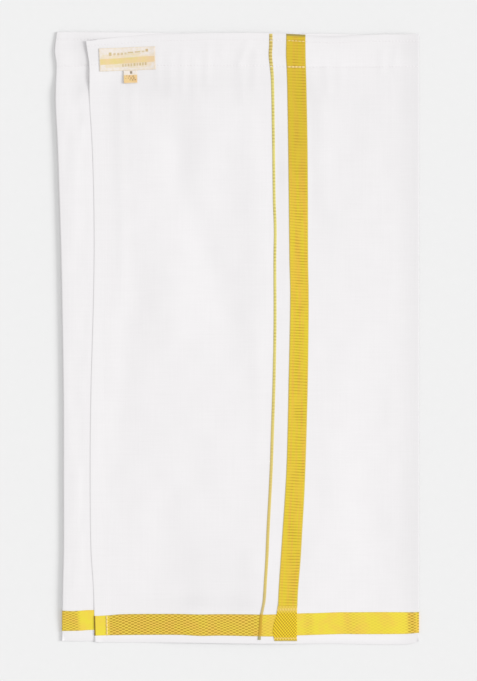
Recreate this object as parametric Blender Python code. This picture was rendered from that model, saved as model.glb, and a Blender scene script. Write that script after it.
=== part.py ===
"""A child's ready-to-wear dhoti, laid flat with its front upwards.

One length of white cotton is wrapped into a flattened tube. It starts at a hidden edge under the front,
goes round the left fold, across the back, round the right fold and over the front to a free, hemmed edge.
Sizes are in millimetres until a mesh is made, which is in metres. X runs to the right of the garment as it
is seen from above, Y towards the waist and Z up. The origin lies under the middle of its outline.
"""

from collections import namedtuple
import math

import bmesh
import bpy
from mathutils import Vector
from mathutils.bvhtree import BVHTree

METRE = 0.001

# Driving sizes of the garment
LENGTH = 613.0
RIGHT_FOLD = 182.1
HIDDEN_EDGE = 153.6
CASING_DEPTH = 34.5
SIDE_HEM = 12.0

# The cloth's wall, single and where it is turned and stitched, and the air between two layers
SINGLE = 1.0
CASING = 1.4
HEMMED = 1.5
GAP = 0.3

# How far a stitch line pulls the cloth down, and how wide that groove is
STITCH_PULL = 0.35
STITCH_HALF = 1.4

# The left fold is a soft roll that stands above the cloth beside it. The right one is pressed nearly flat.
LEFT_ROLL = 2.6
LEFT_ROLL_RUN = 20.0
LEFT_ROLL_DEGREES = (90, 66, 42, 20)
RIGHT_FOLD_AIR = 0.7
RIGHT_ROLL_RUN = 25.0
RIGHT_ROLL_DEGREES = (90, 45)

# How much an edge swells out between its two faces
EDGE_ROUND = 0.35

# The woven name label, sewn across the casing's stitch line, and the size tab that hangs below it
LABEL_CENTRE = (-109.1, 585.4)
LABEL_SIZE = (56.0, 23.0)
LABEL_TURN = math.radians(2.2)
TAB_SIZE = (13.5, 12.4)
TAB_SHIFT = 2.4
TAG_WALL = 1.0
TAG_CELL = 2.9

SEAM = LENGTH - CASING_DEPTH

# How far below its stitch line the casing starts to lift the cloth
CASING_SLOPE = 40.0

# How far up the cloth the hem's bend still shows
HEM_BEND = 60.0

# The over front's free corner at the waist stands up a little
CORNER_LIFT = 1.0
CORNER_REACH = 26.0

# Where the meshes are cut into columns, across, and rows, up. Offsets are from a fold or an edge.
BACK_COLUMNS = 12
STRIP_OFFSETS = (3.0, 6.0, 9.0, 12.0, 15.5, 19.0, 23.0, 27.0, 32.0, 38.0)
HIDDEN_COLUMNS = 9
OVER_COLUMNS = 24
SLOPE_COLUMNS = 4
BODY_ROWS = 28

# Where the folded and free edges lie, by distance up from the hem. X is measured from the middle line.
Section = namedtuple("Section", "up left_fold free_edge")
SECTIONS = (
    Section(0.0, -174.5, -140.8),
    Section(55.0, -173.9, -142.3),
    Section(95.0, -172.8, -144.2),
    Section(160.0, -172.4, -144.9),
    Section(245.0, -172.4, -144.7),
    Section(340.0, -174.3, -142.5),
    Section(400.0, -175.8, -141.9),
    Section(460.0, -177.3, -142.3),
    Section(505.0, -179.2, -144.5),
    Section(545.0, -180.7, -147.0),
    Section(580.0, -179.8, -147.5),
    Section(594.0, -182.1, -149.2),
    Section(613.0, -179.6, -152.2),
)

# How far a stretch's waist edge lies below the garment's top, across its width
WaistPoint = namedtuple("WaistPoint", "x drop")
OVER_WAIST = (
    WaistPoint(-152.0, 8.3),
    WaistPoint(-127.0, 6.2),
    WaistPoint(-101.0, 3.8),
    WaistPoint(-86.0, 2.2),
    WaistPoint(-46.0, 0.8),
    WaistPoint(14.0, 0.3),
    WaistPoint(50.0, 1.2),
    WaistPoint(89.0, 4.0),
    WaistPoint(114.0, 3.4),
    WaistPoint(136.0, 2.0),
    WaistPoint(182.0, 2.0),
)
BACK_WAIST = (
    WaistPoint(-182.0, 0.0),
    WaistPoint(0.0, 0.0),
    WaistPoint(120.0, 0.0),
    WaistPoint(160.0, 0.5),
    WaistPoint(182.0, 2.0),
)
UNDER_WAIST = (WaistPoint(-182.0, 0.0), WaistPoint(182.0, 0.0))

# How far a stretch's hem lies above the garment's lowest point, across its width
HemPoint = namedtuple("HemPoint", "x rise")
OVER_HEM = (
    HemPoint(-141.0, 1.8),
    HemPoint(-86.0, 2.4),
    HemPoint(-46.0, 2.8),
    HemPoint(0.0, 2.0),
    HemPoint(50.0, 1.4),
    HemPoint(114.0, 0.6),
    HemPoint(160.0, 0.3),
    HemPoint(174.0, 1.0),
    HemPoint(182.0, 3.6),
)
BACK_HEM = (
    HemPoint(-175.0, 2.8),
    HemPoint(120.0, 1.8),
    HemPoint(170.0, 1.8),
    HemPoint(182.0, 3.6),
)
UNDER_HEM = (HemPoint(-175.0, 2.8), HemPoint(154.0, 2.8))

# Soft folds that stand up from a stretch, each along a line from its low end to its high end.
# Width is the distance over which a fold rises and falls, and height is negative in a trough.
Fold = namedtuple("Fold", "low_x low_up high_x high_up width height")
OVER_FOLDS = (
    Fold(-115.0, 312.0, -119.0, 566.0, 9.0, 0.7),
    Fold(-62.0, 318.0, -92.0, 560.0, 46.0, 1.0),
    Fold(-10.0, 330.0, -58.0, 560.0, 22.0, -1.1),
    Fold(6.0, 300.0, -22.0, 560.0, 34.0, 1.0),
    Fold(28.0, 250.0, 18.0, 560.0, 24.0, 0.9),
    Fold(-104.0, 90.0, -92.0, 230.0, 20.0, 0.9),
    Fold(-116.0, 272.0, -86.0, 232.0, 9.0, 0.5),
    Fold(-24.0, 96.0, -16.0, 280.0, 90.0, 1.5),
    Fold(66.0, 0.0, 44.0, 70.0, 30.0, 0.9),
    Fold(102.0, 440.0, 118.0, 566.0, 26.0, 1.0),
    Fold(98.0, 300.0, 104.0, 460.0, 22.0, 0.8),
    Fold(104.0, 30.0, 100.0, 230.0, 60.0, 1.1),
    Fold(140.0, 260.0, 132.0, 520.0, 34.0, 0.6),
    Fold(-60.0, 8.0, -84.0, 130.0, 28.0, 0.8),
)
OVER_LOFT = 0.8
UNDER_FOLDS = (
    Fold(-161.0, 506.0, -153.0, 560.0, 8.0, 0.6),
    Fold(-162.0, 370.0, -163.0, 520.0, 13.0, 0.6),
    Fold(-161.0, 60.0, -160.0, 190.0, 12.0, 0.4),
)


def smooth(share):
    """A share of 0 to 1, eased at both ends."""
    share = min(1.0, max(0.0, share))
    return share * share * (3.0 - 2.0 * share)


def along(table, at, value):
    """Reads a column of a table at a place in its first column, on one smooth curve through its rows."""
    places = [row[0] for row in table]
    values = [getattr(row, value) for row in table]
    if at <= places[0]:
        return values[0]
    if at >= places[-1]:
        return values[-1]
    high = next(index for index, place in enumerate(places) if place > at)
    low = high - 1
    step = places[high] - places[low]
    share = (at - places[low]) / step

    def slope(index):
        before = max(index - 1, 0)
        after = min(index + 1, len(places) - 1)
        return (values[after] - values[before]) / (places[after] - places[before])

    squared = share * share
    cubed = squared * share
    ends = (2 * cubed - 3 * squared + 1) * values[low] + (3 * squared - 2 * cubed) * values[high]
    slopes = (cubed - 2 * squared + share) * slope(low) + (cubed - squared) * slope(high)
    return ends + step * slopes


def fold_height(folds, x, up):
    """The sum of the soft folds at a place on a stretch. A fold fades out over its last quarter."""
    total = 0.0
    for fold in folds:
        run_x = fold.high_x - fold.low_x
        run_up = fold.high_up - fold.low_up
        run = math.hypot(run_x, run_up)
        share = ((x - fold.low_x) * run_x + (up - fold.low_up) * run_up) / run**2
        away = abs((x - fold.low_x) * run_up - (up - fold.low_up) * run_x) / run
        fade = smooth(share * 4.0 + 0.5) * smooth((1.0 - share) * 4.0 + 0.5)
        total += fold.height * fade * math.exp(-((away / (0.5 * fold.width)) ** 2))
    return total


def wall_at(up):
    """The wall's thickness: single cloth below the casing's stitch line, and turned cloth above it."""
    return SINGLE + (CASING - SINGLE) * smooth((up - SEAM + CASING_SLOPE) / CASING_SLOPE)


def groove(distance):
    """How far a stitch line pulls the outer face down, by the distance from that line."""
    return STITCH_PULL * max(0.0, 1.0 - abs(distance) / STITCH_HALF)


def right_roll(up):
    """The outer radius of the right fold, which holds two walls with a little air between them."""
    return wall_at(up) + 0.5 * RIGHT_FOLD_AIR


def place_up(up, x, hem, waist):
    """Bends a level row to its stretch's hem and waist edges. The casing's stitch line stays level."""
    rise = along(hem, x, "rise") * (1.0 - smooth(up / HEM_BEND))
    drop = along(waist, x, "drop") * max(0.0, up - SEAM) / CASING_DEPTH
    return up + rise - drop


def point(x, up, height):
    return Vector((x, up - 0.5 * LENGTH, height))


def roll_pairs(side, edge, radius, wall, up, facing):
    """The (outer, inner) points of a quarter roll, from its flat side to half a gap from the fold's middle.

    Side is 1 at the right fold and -1 at the left. Facing is 1 for the upper quarter and -1 for the lower.
    """
    middle = edge - side * radius
    pairs = []
    for degrees in RIGHT_ROLL_DEGREES if side > 0 else LEFT_ROLL_DEGREES:
        across = math.cos(math.radians(degrees))
        rise = math.sin(math.radians(degrees))
        outer = point(middle + side * radius * across, up, radius * (1 + facing * rise))
        inner = point(middle + side * (radius - wall) * across, up, radius + facing * (radius - wall) * rise)
        pairs.append((outer, inner))
    half_gap = 0.5 * GAP
    ends = []
    for size in (radius, radius - wall):
        across = math.sqrt(size**2 - half_gap**2)
        ends.append(point(middle + side * across, up, radius + facing * half_gap))
    return pairs + [tuple(ends)]


def back_section(up):
    """The lower wall, from the left fold to the right one. Its outer face is underneath, and flat."""
    left = along(SECTIONS, up, "left_fold")
    wall = wall_at(up)
    radius = right_roll(up)
    pairs = roll_pairs(-1, left, LEFT_ROLL, wall, up, -1)[::-1]
    start = left + LEFT_ROLL
    end = RIGHT_FOLD - radius
    for step in range(1, BACK_COLUMNS):
        x = start + (end - start) * step / BACK_COLUMNS
        pairs.append((point(x, up, 0.0), point(x, up, wall)))
    return pairs + roll_pairs(1, RIGHT_FOLD, radius, wall, up, -1)


def under_levels(x, up):
    """The heights of the under front's inner and outer faces."""
    left = along(SECTIONS, up, "left_fold")
    wall = wall_at(up)
    level = wall + GAP + wall
    lift = (2 * LEFT_ROLL - level) * (1.0 - smooth((x - left - LEFT_ROLL) / LEFT_ROLL_RUN))
    free = along(SECTIONS, up, "free_edge")
    shown = smooth((free - 3.0 - x) / 8.0)
    height = level + lift + shown * fold_height(UNDER_FOLDS, x, up)
    return height - wall, height


def under_section(up):
    """The wall in the middle, from the left fold to its hidden edge."""
    left = along(SECTIONS, up, "left_fold")
    wall = wall_at(up)
    start = left + LEFT_ROLL
    pairs = roll_pairs(-1, left, LEFT_ROLL, wall, up, 1)[::-1]
    places = [start + offset for offset in STRIP_OFFSETS]
    hidden_run = HIDDEN_EDGE - EDGE_ROUND * wall - places[-1]
    places += [places[-1] + hidden_run * step / HIDDEN_COLUMNS for step in range(1, HIDDEN_COLUMNS + 1)]
    for x in places:
        low, high = under_levels(x, up)
        pairs.append((point(x, up, high - groove(up - SEAM)), point(x, up, low)))
    return pairs


def over_levels(x, up):
    """The heights of the over front's inner and outer faces, without its stitch lines."""
    wall = wall_at(up)
    level = 3 * wall + 2 * GAP
    free = along(SECTIONS, up, "free_edge")
    slope_end = RIGHT_FOLD - right_roll(up)
    slope = smooth((x - slope_end + RIGHT_ROLL_RUN) / RIGHT_ROLL_RUN)
    level += (2 * right_roll(up) - level) * slope
    in_from_edge = smooth((x - free - SIDE_HEM) / 20.0)
    below_casing = 1.0 - 0.75 * smooth((up - SEAM + 30.0) / 30.0)
    loft = (OVER_LOFT + fold_height(OVER_FOLDS, x, up)) * in_from_edge * below_casing * (1.0 - slope)
    corner = smooth((up - SEAM + 38.0) / 30.0) * (1.0 - smooth((x - free) / CORNER_REACH))
    bottom = level - wall + max(0.0, loft) + CORNER_LIFT * corner
    in_side_hem = 1.0 - smooth((x - free - SIDE_HEM) / 3.0)
    turned = (HEMMED - SINGLE) * in_side_hem * (1.0 - smooth((up - SEAM + 8.0) / 8.0))
    return bottom, bottom + wall + turned


def over_section(up):
    """The upper wall, from its free edge on the left to the right fold."""
    free = along(SECTIONS, up, "free_edge")
    wall = wall_at(up)
    radius = right_roll(up)
    rim = EDGE_ROUND * HEMMED
    hem = [free + offset for offset in (rim, 4.0, 8.0, SIDE_HEM - 1.4, SIDE_HEM, SIDE_HEM + 1.6, 18.0)]
    slope_start = RIGHT_FOLD - radius - RIGHT_ROLL_RUN
    middle_run = slope_start - hem[-1]
    middle = [hem[-1] + middle_run * step / OVER_COLUMNS for step in range(1, OVER_COLUMNS + 1)]
    slope = [slope_start + RIGHT_ROLL_RUN * step / SLOPE_COLUMNS for step in range(1, SLOPE_COLUMNS)]
    pairs = []
    for x in hem + middle + slope:
        low, high = over_levels(x, up)
        pull = max(groove(up - SEAM), groove(x - free - SIDE_HEM))
        pairs.append((point(x, up, high - pull), point(x, up, low)))
    return pairs + roll_pairs(1, RIGHT_FOLD, radius, wall, up, 1)


def rows_up():
    """The levels at which a section is cut: evenly over the body, and closely at the hem and the casing."""
    hem = [EDGE_ROUND * SINGLE, 8.0]
    body_run = SEAM - 16.0 - hem[-1]
    body = [hem[-1] + body_run * step / BODY_ROWS for step in range(1, BODY_ROWS + 1)]
    slope = [SEAM - 10.0, SEAM - 5.0]
    seam = [SEAM - STITCH_HALF, SEAM, SEAM + STITCH_HALF]
    casing = [SEAM + 8.0, SEAM + 16.0, SEAM + 25.0, LENGTH - EDGE_ROUND * CASING]
    return hem + body + slope + seam + casing


def new_object(name, points, faces, material):
    """One closed solid, with its faces pointing out, shaded smooth but for its sharp rims."""
    mesh = bpy.data.meshes.new(name)
    mesh.from_pydata([place * METRE for place in points], [], faces)
    work = bmesh.new()
    work.from_mesh(mesh)
    bmesh.ops.recalc_face_normals(work, faces=work.faces)
    work.to_mesh(mesh)
    work.free()
    mesh.shade_smooth()
    mesh.set_sharp_from_angle(angle=math.radians(50))
    mesh.materials.append(material)
    made = bpy.data.objects.new(name, mesh)
    bpy.context.scene.collection.objects.link(made)
    return made


def wall_from(name, sections, rounded_start, rounded_end, material):
    """Joins a grid of (outer, inner) points into one wall, with a swollen rim where an edge is free."""
    rows = len(sections)
    columns = len(sections[0])
    points = [pair[0] for section in sections for pair in section]
    points += [pair[1] for section in sections for pair in section]
    inner = rows * columns
    faces = []
    for row in range(rows - 1):
        for column in range(columns - 1):
            corner = row * columns + column
            quad = (corner, corner + 1, corner + columns + 1, corner + columns)
            faces.append(quad)
            faces.append(tuple(inner + index for index in reversed(quad)))
    border = [(0, column) for column in range(columns)]
    border += [(row, columns - 1) for row in range(1, rows)]
    border += [(rows - 1, column) for column in range(columns - 2, -1, -1)]
    border += [(row, 0) for row in range(rows - 2, 0, -1)]
    rim = []
    for row, column in border:
        outer_point, inner_point = sections[row][column]
        swell = EDGE_ROUND * (outer_point - inner_point).length
        out = Vector((0.0, 0.0, 0.0))
        if row in (0, rows - 1):
            out.y = swell if row else -swell
        if column == 0 and rounded_start:
            out.x = -swell
        if column == columns - 1 and rounded_end:
            out.x = swell
        rim.append(len(points))
        points.append(0.5 * (outer_point + inner_point) + out)
    for index, (row, column) in enumerate(border):
        following = (index + 1) % len(border)
        next_row, next_column = border[following]
        here = row * columns + column
        there = next_row * columns + next_column
        faces.append((there, here, rim[index], rim[following]))
        faces.append((rim[following], rim[index], inner + here, inner + there))
    return new_object(name, points, faces, material)


def stretch(name, section, hem, waist, rounded_start, rounded_end, material):
    """One stretch of the wrapped cloth, lofted through its sections."""
    sections = []
    for up in rows_up():
        pairs = []
        for outer, inner in section(up):
            for place in (outer, inner):
                place.y = place_up(up, place.x, hem, waist) - 0.5 * LENGTH
            pairs.append((outer, inner))
        sections.append(pairs)
    return wall_from(name, sections, rounded_start, rounded_end, material)


def tag(name, low, high, surface, material):
    """A woven tag that lies on the cloth. Low and high are its corners in the label's own turned frame."""
    rim = EDGE_ROUND * TAG_WALL
    width = high[0] - low[0] - 2 * rim
    depth = high[1] - low[1] - 2 * rim
    columns = round(width / TAG_CELL) + 1
    rows = round(depth / TAG_CELL) + 1
    sections = []
    for row in range(rows):
        pairs = []
        for column in range(columns):
            across = low[0] + rim + width * column / (columns - 1)
            up = low[1] + rim + depth * row / (rows - 1)
            x = LABEL_CENTRE[0] + across * math.cos(LABEL_TURN) - up * math.sin(LABEL_TURN)
            y = LABEL_CENTRE[1] + across * math.sin(LABEL_TURN) + up * math.cos(LABEL_TURN)
            above = point(x, y, 50.0) * METRE
            hit = surface.ray_cast(above, Vector((0.0, 0.0, -1.0)))[0]
            height = hit.z / METRE + GAP
            pairs.append((point(x, y, height + TAG_WALL), point(x, y, height)))
        sections.append(pairs)
    return wall_from(name, sections, True, True, material)


def cloth_material(name, colour, roughness):
    material = bpy.data.materials.new(name)
    material.use_nodes = True
    shader = material.node_tree.nodes["Principled BSDF"]
    shader.inputs["Base Color"].default_value = (*colour, 1.0)
    shader.inputs["Roughness"].default_value = roughness
    shader.inputs["Metallic"].default_value = 0.0
    return material


def centre_on_origin(objects):
    """Moves every mesh so that the origin lies under the middle of the garment's outline."""
    corners = [vertex.co for made in objects for vertex in made.data.vertices]
    middle_x = 0.5 * (min(place.x for place in corners) + max(place.x for place in corners))
    middle_y = 0.5 * (min(place.y for place in corners) + max(place.y for place in corners))
    for made in objects:
        for vertex in made.data.vertices:
            vertex.co.x -= middle_x
            vertex.co.y -= middle_y


def main():
    for old in list(bpy.data.objects):
        bpy.data.objects.remove(old)
    cotton = cloth_material("white_cotton", (0.93, 0.93, 0.94), 0.85)
    woven_label = cloth_material("woven_label", (0.90, 0.78, 0.45), 0.6)
    back = stretch("back", back_section, BACK_HEM, BACK_WAIST, False, False, cotton)
    under = stretch("under_front", under_section, UNDER_HEM, UNDER_WAIST, False, True, cotton)
    over = stretch("over_front", over_section, OVER_HEM, OVER_WAIST, True, False, cotton)
    surface = BVHTree.FromPolygons(
        [vertex.co for vertex in over.data.vertices],
        [polygon.vertices for polygon in over.data.polygons],
    )
    half_width = 0.5 * LABEL_SIZE[0]
    half_depth = 0.5 * LABEL_SIZE[1]
    tab_top = -half_depth - GAP
    tab_half = 0.5 * TAB_SIZE[0]
    label = tag("label", (-half_width, -half_depth), (half_width, half_depth), surface, woven_label)
    size_tab = tag(
        "size_tab",
        (TAB_SHIFT - tab_half, tab_top - TAB_SIZE[1]),
        (TAB_SHIFT + tab_half, tab_top),
        surface,
        woven_label,
    )
    centre_on_origin([back, under, over, label, size_tab])


main()
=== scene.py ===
# %% [markdown]
# # A child's dhoti, laid flat
#
# A dhoti is one straight length of cotton that is wrapped, not cut to the body. This one is made up for a
# child: the waist is turned in as a casing, one side is hemmed, and a gold zari border runs along the hem
# with a zari end stripe across it. It lies on a table as a flattened tube, with its front upwards.
#
# The solid model has a node for each stretch of the cloth. Here each stretch becomes a thin shell that
# follows the same sizes, with the finer folds, the woven gold, the sewing and the label on it.

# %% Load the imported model
from collections import namedtuple
import math

import bpy
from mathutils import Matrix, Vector
import numpy as np


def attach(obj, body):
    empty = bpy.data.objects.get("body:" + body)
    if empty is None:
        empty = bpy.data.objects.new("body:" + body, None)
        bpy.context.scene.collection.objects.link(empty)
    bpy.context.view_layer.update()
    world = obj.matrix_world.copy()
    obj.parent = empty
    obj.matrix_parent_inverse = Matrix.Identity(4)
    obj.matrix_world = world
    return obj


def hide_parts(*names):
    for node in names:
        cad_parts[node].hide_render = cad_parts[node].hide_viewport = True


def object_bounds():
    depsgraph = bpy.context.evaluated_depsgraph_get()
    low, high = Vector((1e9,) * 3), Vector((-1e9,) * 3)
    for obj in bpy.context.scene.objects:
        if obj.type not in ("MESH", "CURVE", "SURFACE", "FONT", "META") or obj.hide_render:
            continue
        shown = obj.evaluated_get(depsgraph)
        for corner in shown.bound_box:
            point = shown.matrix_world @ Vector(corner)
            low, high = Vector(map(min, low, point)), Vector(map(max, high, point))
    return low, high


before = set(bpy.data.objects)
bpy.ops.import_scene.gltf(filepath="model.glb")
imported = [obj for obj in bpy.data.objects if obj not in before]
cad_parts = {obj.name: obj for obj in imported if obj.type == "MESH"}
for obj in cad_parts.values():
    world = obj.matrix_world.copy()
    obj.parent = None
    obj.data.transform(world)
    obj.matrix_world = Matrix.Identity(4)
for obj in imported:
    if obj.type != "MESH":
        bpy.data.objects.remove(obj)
cad_low, cad_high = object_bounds()
print("nodes:", ", ".join(sorted(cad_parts)))

# %% [markdown]
# Cloth is measured in millimetres, so the tables below are too, and points are turned to metres when a mesh
# is made. "Up" is the distance from the hem towards the waist. The waist edge is the highest Y of the model.
# The seam is the casing's stitch line, and the top row is a second line of stitches near the waist.

# %% Sizes of the garment
MM = 0.001
LENGTH = 613.0
RIGHT_FOLD = 182.5
HIDDEN_EDGE = 153.6
CASING_DEPTH = 34.5
SEAM = LENGTH - CASING_DEPTH
TOP_ROW = LENGTH - 7.6
SIDE_HEM = 12.0
UP_TO_Y = cad_high.y / MM - LENGTH
cad_size = (cad_high - cad_low) / MM
print(f"the model is {cad_size.x:.1f} mm wide and {cad_size.y:.1f} mm long")

# %% [markdown]
# The camera comes first, so that every later look is through the right frame. It hangs straight above the
# garment on a long lens, because the photograph shows no sides. On the cloth one pixel is one millimetre.

# %% Camera
PHOTO_WIDTH = 477
PHOTO_HEIGHT = 681
VIEW_CENTRE = (2.1, -2.8)
CAMERA_HEIGHT = 5000.0
CLOTH_TOP = 4.0

camera = bpy.data.objects.new("camera", bpy.data.cameras.new("camera"))
bpy.context.scene.collection.objects.link(camera)
bpy.context.scene.camera = camera
camera.location = (VIEW_CENTRE[0] * MM, VIEW_CENTRE[1] * MM, (CAMERA_HEIGHT + CLOTH_TOP) * MM)
camera.data.sensor_width = 36.0
camera.data.lens = camera.data.sensor_width * CAMERA_HEIGHT / PHOTO_HEIGHT
camera.data.clip_end = 50.0
print(f"lens: {camera.data.lens:.0f} mm, field: {PHOTO_WIDTH} by {PHOTO_HEIGHT} mm")

# %% [markdown]
# White cloth on a white table shows its form only through soft shadow. A wide sky of even light fills
# everything, and one large, distant lamp from the right gives each fold a lighter and a darker side.
# A sun with a wide angle does this evenly over the whole table. An area lamp would brighten one side.

# %% Light
FILL = 0.804
LAMP = 2.2
LAMP_ELEVATION = math.radians(25)
LAMP_BEARING = math.radians(4)
LAMP_ANGLE = math.radians(22)

world = bpy.data.worlds.new("studio")
bpy.context.scene.world = world
world.use_nodes = True
world.node_tree.nodes["Background"].inputs["Color"].default_value = (1.0, 1.0, 1.0, 1.0)
world.node_tree.nodes["Background"].inputs["Strength"].default_value = FILL

lamp = bpy.data.objects.new("lamp", bpy.data.lights.new("lamp", "SUN"))
bpy.context.scene.collection.objects.link(lamp)
lamp.data.energy = LAMP
lamp.data.angle = LAMP_ANGLE
lamp_from = Vector((
    math.cos(LAMP_ELEVATION) * math.cos(LAMP_BEARING),
    math.cos(LAMP_ELEVATION) * math.sin(LAMP_BEARING),
    math.sin(LAMP_ELEVATION),
))
lamp.rotation_mode = "QUATERNION"
lamp.rotation_quaternion = lamp_from.to_track_quat("Z", "Y")
lamp.location = lamp_from * 2.0
bpy.context.scene.view_settings.view_transform = "Standard"
print(f"the lamp gives {LAMP * math.sin(LAMP_ELEVATION) / math.pi:.2f} on the table and the sky {FILL}")

# %% [markdown]
# Colours are written as the hex values that a designer would pick on a screen. Shaders work in linear
# light, so one function turns the one into the other. A second small function adds a node, sets its
# properties and links its inputs, which keeps each material below short enough to read.

# %% Colour and node helpers


def linear(hex_colour):
    """An sRGB colour such as "f1f1f1" as linear red, green, blue and alpha."""
    parts = [int(hex_colour[place:place + 2], 16) / 255 for place in (0, 2, 4)]
    return [c / 12.92 if c <= 0.04045 else ((c + 0.055) / 1.055) ** 2.4 for c in parts] + [1.0]


def add_node(tree, kind, inputs=None, **settings):
    """Adds a node, sets its properties, and links or sets its inputs by name or number."""
    node = tree.nodes.new(kind)
    for name, value in settings.items():
        setattr(node, name, value)
    for key, value in (inputs or {}).items():
        if isinstance(value, bpy.types.NodeSocket):
            tree.links.new(value, node.inputs[key])
        else:
            node.inputs[key].default_value = value
    return node


def new_material(name, roughness, metallic=0.0, sheen=0.0):
    """A material with one Principled BSDF. Returns the material, its tree and the shader node."""
    material = bpy.data.materials.new(name)
    material.use_nodes = True
    tree = material.node_tree
    shader = tree.nodes["Principled BSDF"]
    shader.inputs["Roughness"].default_value = roughness
    shader.inputs["Metallic"].default_value = metallic
    shader.inputs["Sheen Weight"].default_value = sheen
    return material, tree, shader


print("241 grey is", round(linear("f1f1f1")[0], 3), "in linear light")

# %% [markdown]
# The table is matt white paper. Its colour and the lamp are set together so that it renders as the pale
# grey round the garment. It lies a hair below the cloth, so that the two never share a plane.

# %% Floor
FLOOR_DROP = 0.3
FLOOR_HALF = 4.0

paper, tree, shader = new_material("Matt white paper", roughness=0.9)
fibres = add_node(tree, "ShaderNodeTexNoise", {"Scale": 900.0, "Detail": 2.0})
tone = add_node(tree, "ShaderNodeMix", {0: fibres.outputs["Fac"], 6: linear("e6e6e6"), 7: linear("e8e8e8")},
                data_type="RGBA")
tree.links.new(tone.outputs[2], shader.inputs["Base Color"])
shader.inputs["Specular IOR Level"].default_value = 0.2

floor_mesh = bpy.data.meshes.new("floor")
floor_mesh.from_pydata(
    [(x * FLOOR_HALF, y * FLOOR_HALF, -FLOOR_DROP * MM) for x, y in ((-1, -1), (1, -1), (1, 1), (-1, 1))],
    [], [(0, 1, 2, 3)])
floor_mesh.materials.append(paper)
floor = bpy.data.objects.new("floor", floor_mesh)
bpy.context.scene.collection.objects.link(floor)
print("the table lies", FLOOR_DROP, "mm below the cloth")

# %% [markdown]
# ## The shape of the laid cloth
#
# A pattern cutter would write down where each edge lies at a few heights, and let a smooth curve join them.
# The tables do that for the left fold, the free edge, the waist and the hem. One function reads any column
# of any table, for whole arrays of places at once.

# %% Tables of the edges
Section = namedtuple("Section", "up left_fold free_edge")
SECTIONS = (
    Section(0.0, -174.5, -141.9),
    Section(55.0, -173.9, -143.4),
    Section(95.0, -173.0, -145.9),
    Section(160.0, -173.0, -146.7),
    Section(245.0, -173.1, -146.1),
    Section(340.0, -174.5, -143.5),
    Section(400.0, -175.8, -142.7),
    Section(460.0, -177.7, -143.4),
    Section(505.0, -179.3, -145.0),
    Section(545.0, -181.2, -147.4),
    Section(580.0, -180.2, -147.7),
    Section(594.0, -181.8, -149.2),
    Section(613.0, -179.6, -151.2),
)

WaistPoint = namedtuple("WaistPoint", "x drop")
OVER_WAIST = (
    WaistPoint(-152.0, 9.0),
    WaistPoint(-147.0, 9.2),
    WaistPoint(-138.0, 7.8),
    WaistPoint(-127.0, 6.7),
    WaistPoint(-101.0, 4.2),
    WaistPoint(-86.0, 2.8),
    WaistPoint(-46.0, 1.6),
    WaistPoint(14.0, 1.2),
    WaistPoint(50.0, 2.0),
    WaistPoint(89.0, 4.6),
    WaistPoint(114.0, 4.0),
    WaistPoint(136.0, 3.0),
    WaistPoint(160.0, 2.6),
    WaistPoint(182.0, 2.5),
)
BACK_WAIST = (
    WaistPoint(-182.0, 0.5),
    WaistPoint(-100.0, 1.1),
    WaistPoint(-46.0, 1.9),
    WaistPoint(50.0, 1.9),
    WaistPoint(100.0, 2.6),
    WaistPoint(130.0, 4.0),
    WaistPoint(165.0, 4.0),
    WaistPoint(182.0, 2.5),
)
UNDER_WAIST = (
    WaistPoint(-182.0, 0.2),
    WaistPoint(-100.0, 0.8),
    WaistPoint(-46.0, 1.8),
    WaistPoint(50.0, 1.8),
    WaistPoint(100.0, 2.3),
    WaistPoint(154.0, 4.0),
)

HemPoint = namedtuple("HemPoint", "x rise")
OVER_HEM = (
    HemPoint(-141.0, 1.7),
    HemPoint(-120.0, 1.5),
    HemPoint(-86.0, 1.2),
    HemPoint(-46.0, 0.9),
    HemPoint(0.0, 0.2),
    HemPoint(50.0, 0.0),
    HemPoint(100.0, 0.0),
    HemPoint(114.0, -0.3),
    HemPoint(160.0, -0.9),
    HemPoint(174.0, -0.1),
    HemPoint(182.0, 2.8),
)
BACK_HEM = (
    HemPoint(-175.0, 2.9),
    HemPoint(-145.0, 3.2),
    HemPoint(-130.0, 5.0),
    HemPoint(165.0, 4.0),
    HemPoint(182.0, 3.6),
)
UNDER_HEM = (
    HemPoint(-175.0, 2.8),
    HemPoint(-145.0, 2.8),
    HemPoint(-130.0, 5.5),
    HemPoint(154.0, 4.5),
)


def smooth(share):
    """A share of 0 to 1, eased at both ends."""
    share = np.clip(share, 0.0, 1.0)
    return share * share * (3.0 - 2.0 * share)


def along(table, at, column):
    """Reads a column of a table at places in its first column, on one smooth curve through its rows."""
    places = np.array([row[0] for row in table])
    values = np.array([getattr(row, column) for row in table])
    order = np.arange(len(places))
    before = np.maximum(order - 1, 0)
    after = np.minimum(order + 1, len(places) - 1)
    slopes = (values[after] - values[before]) / (places[after] - places[before])
    at = np.clip(at, places[0], places[-1])
    low = np.clip(np.searchsorted(places, at, side="right") - 1, 0, len(places) - 2)
    step = places[low + 1] - places[low]
    share = (at - places[low]) / step
    squared = share**2
    cubed = share**3
    ends = (2 * cubed - 3 * squared + 1) * values[low] + (3 * squared - 2 * cubed) * values[low + 1]
    slants = (cubed - 2 * squared + share) * slopes[low] + (cubed - squared) * slopes[low + 1]
    return ends + step * slants


print("the free edge at mid height is at X", round(float(along(SECTIONS, 300.0, "free_edge")), 1))
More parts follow.
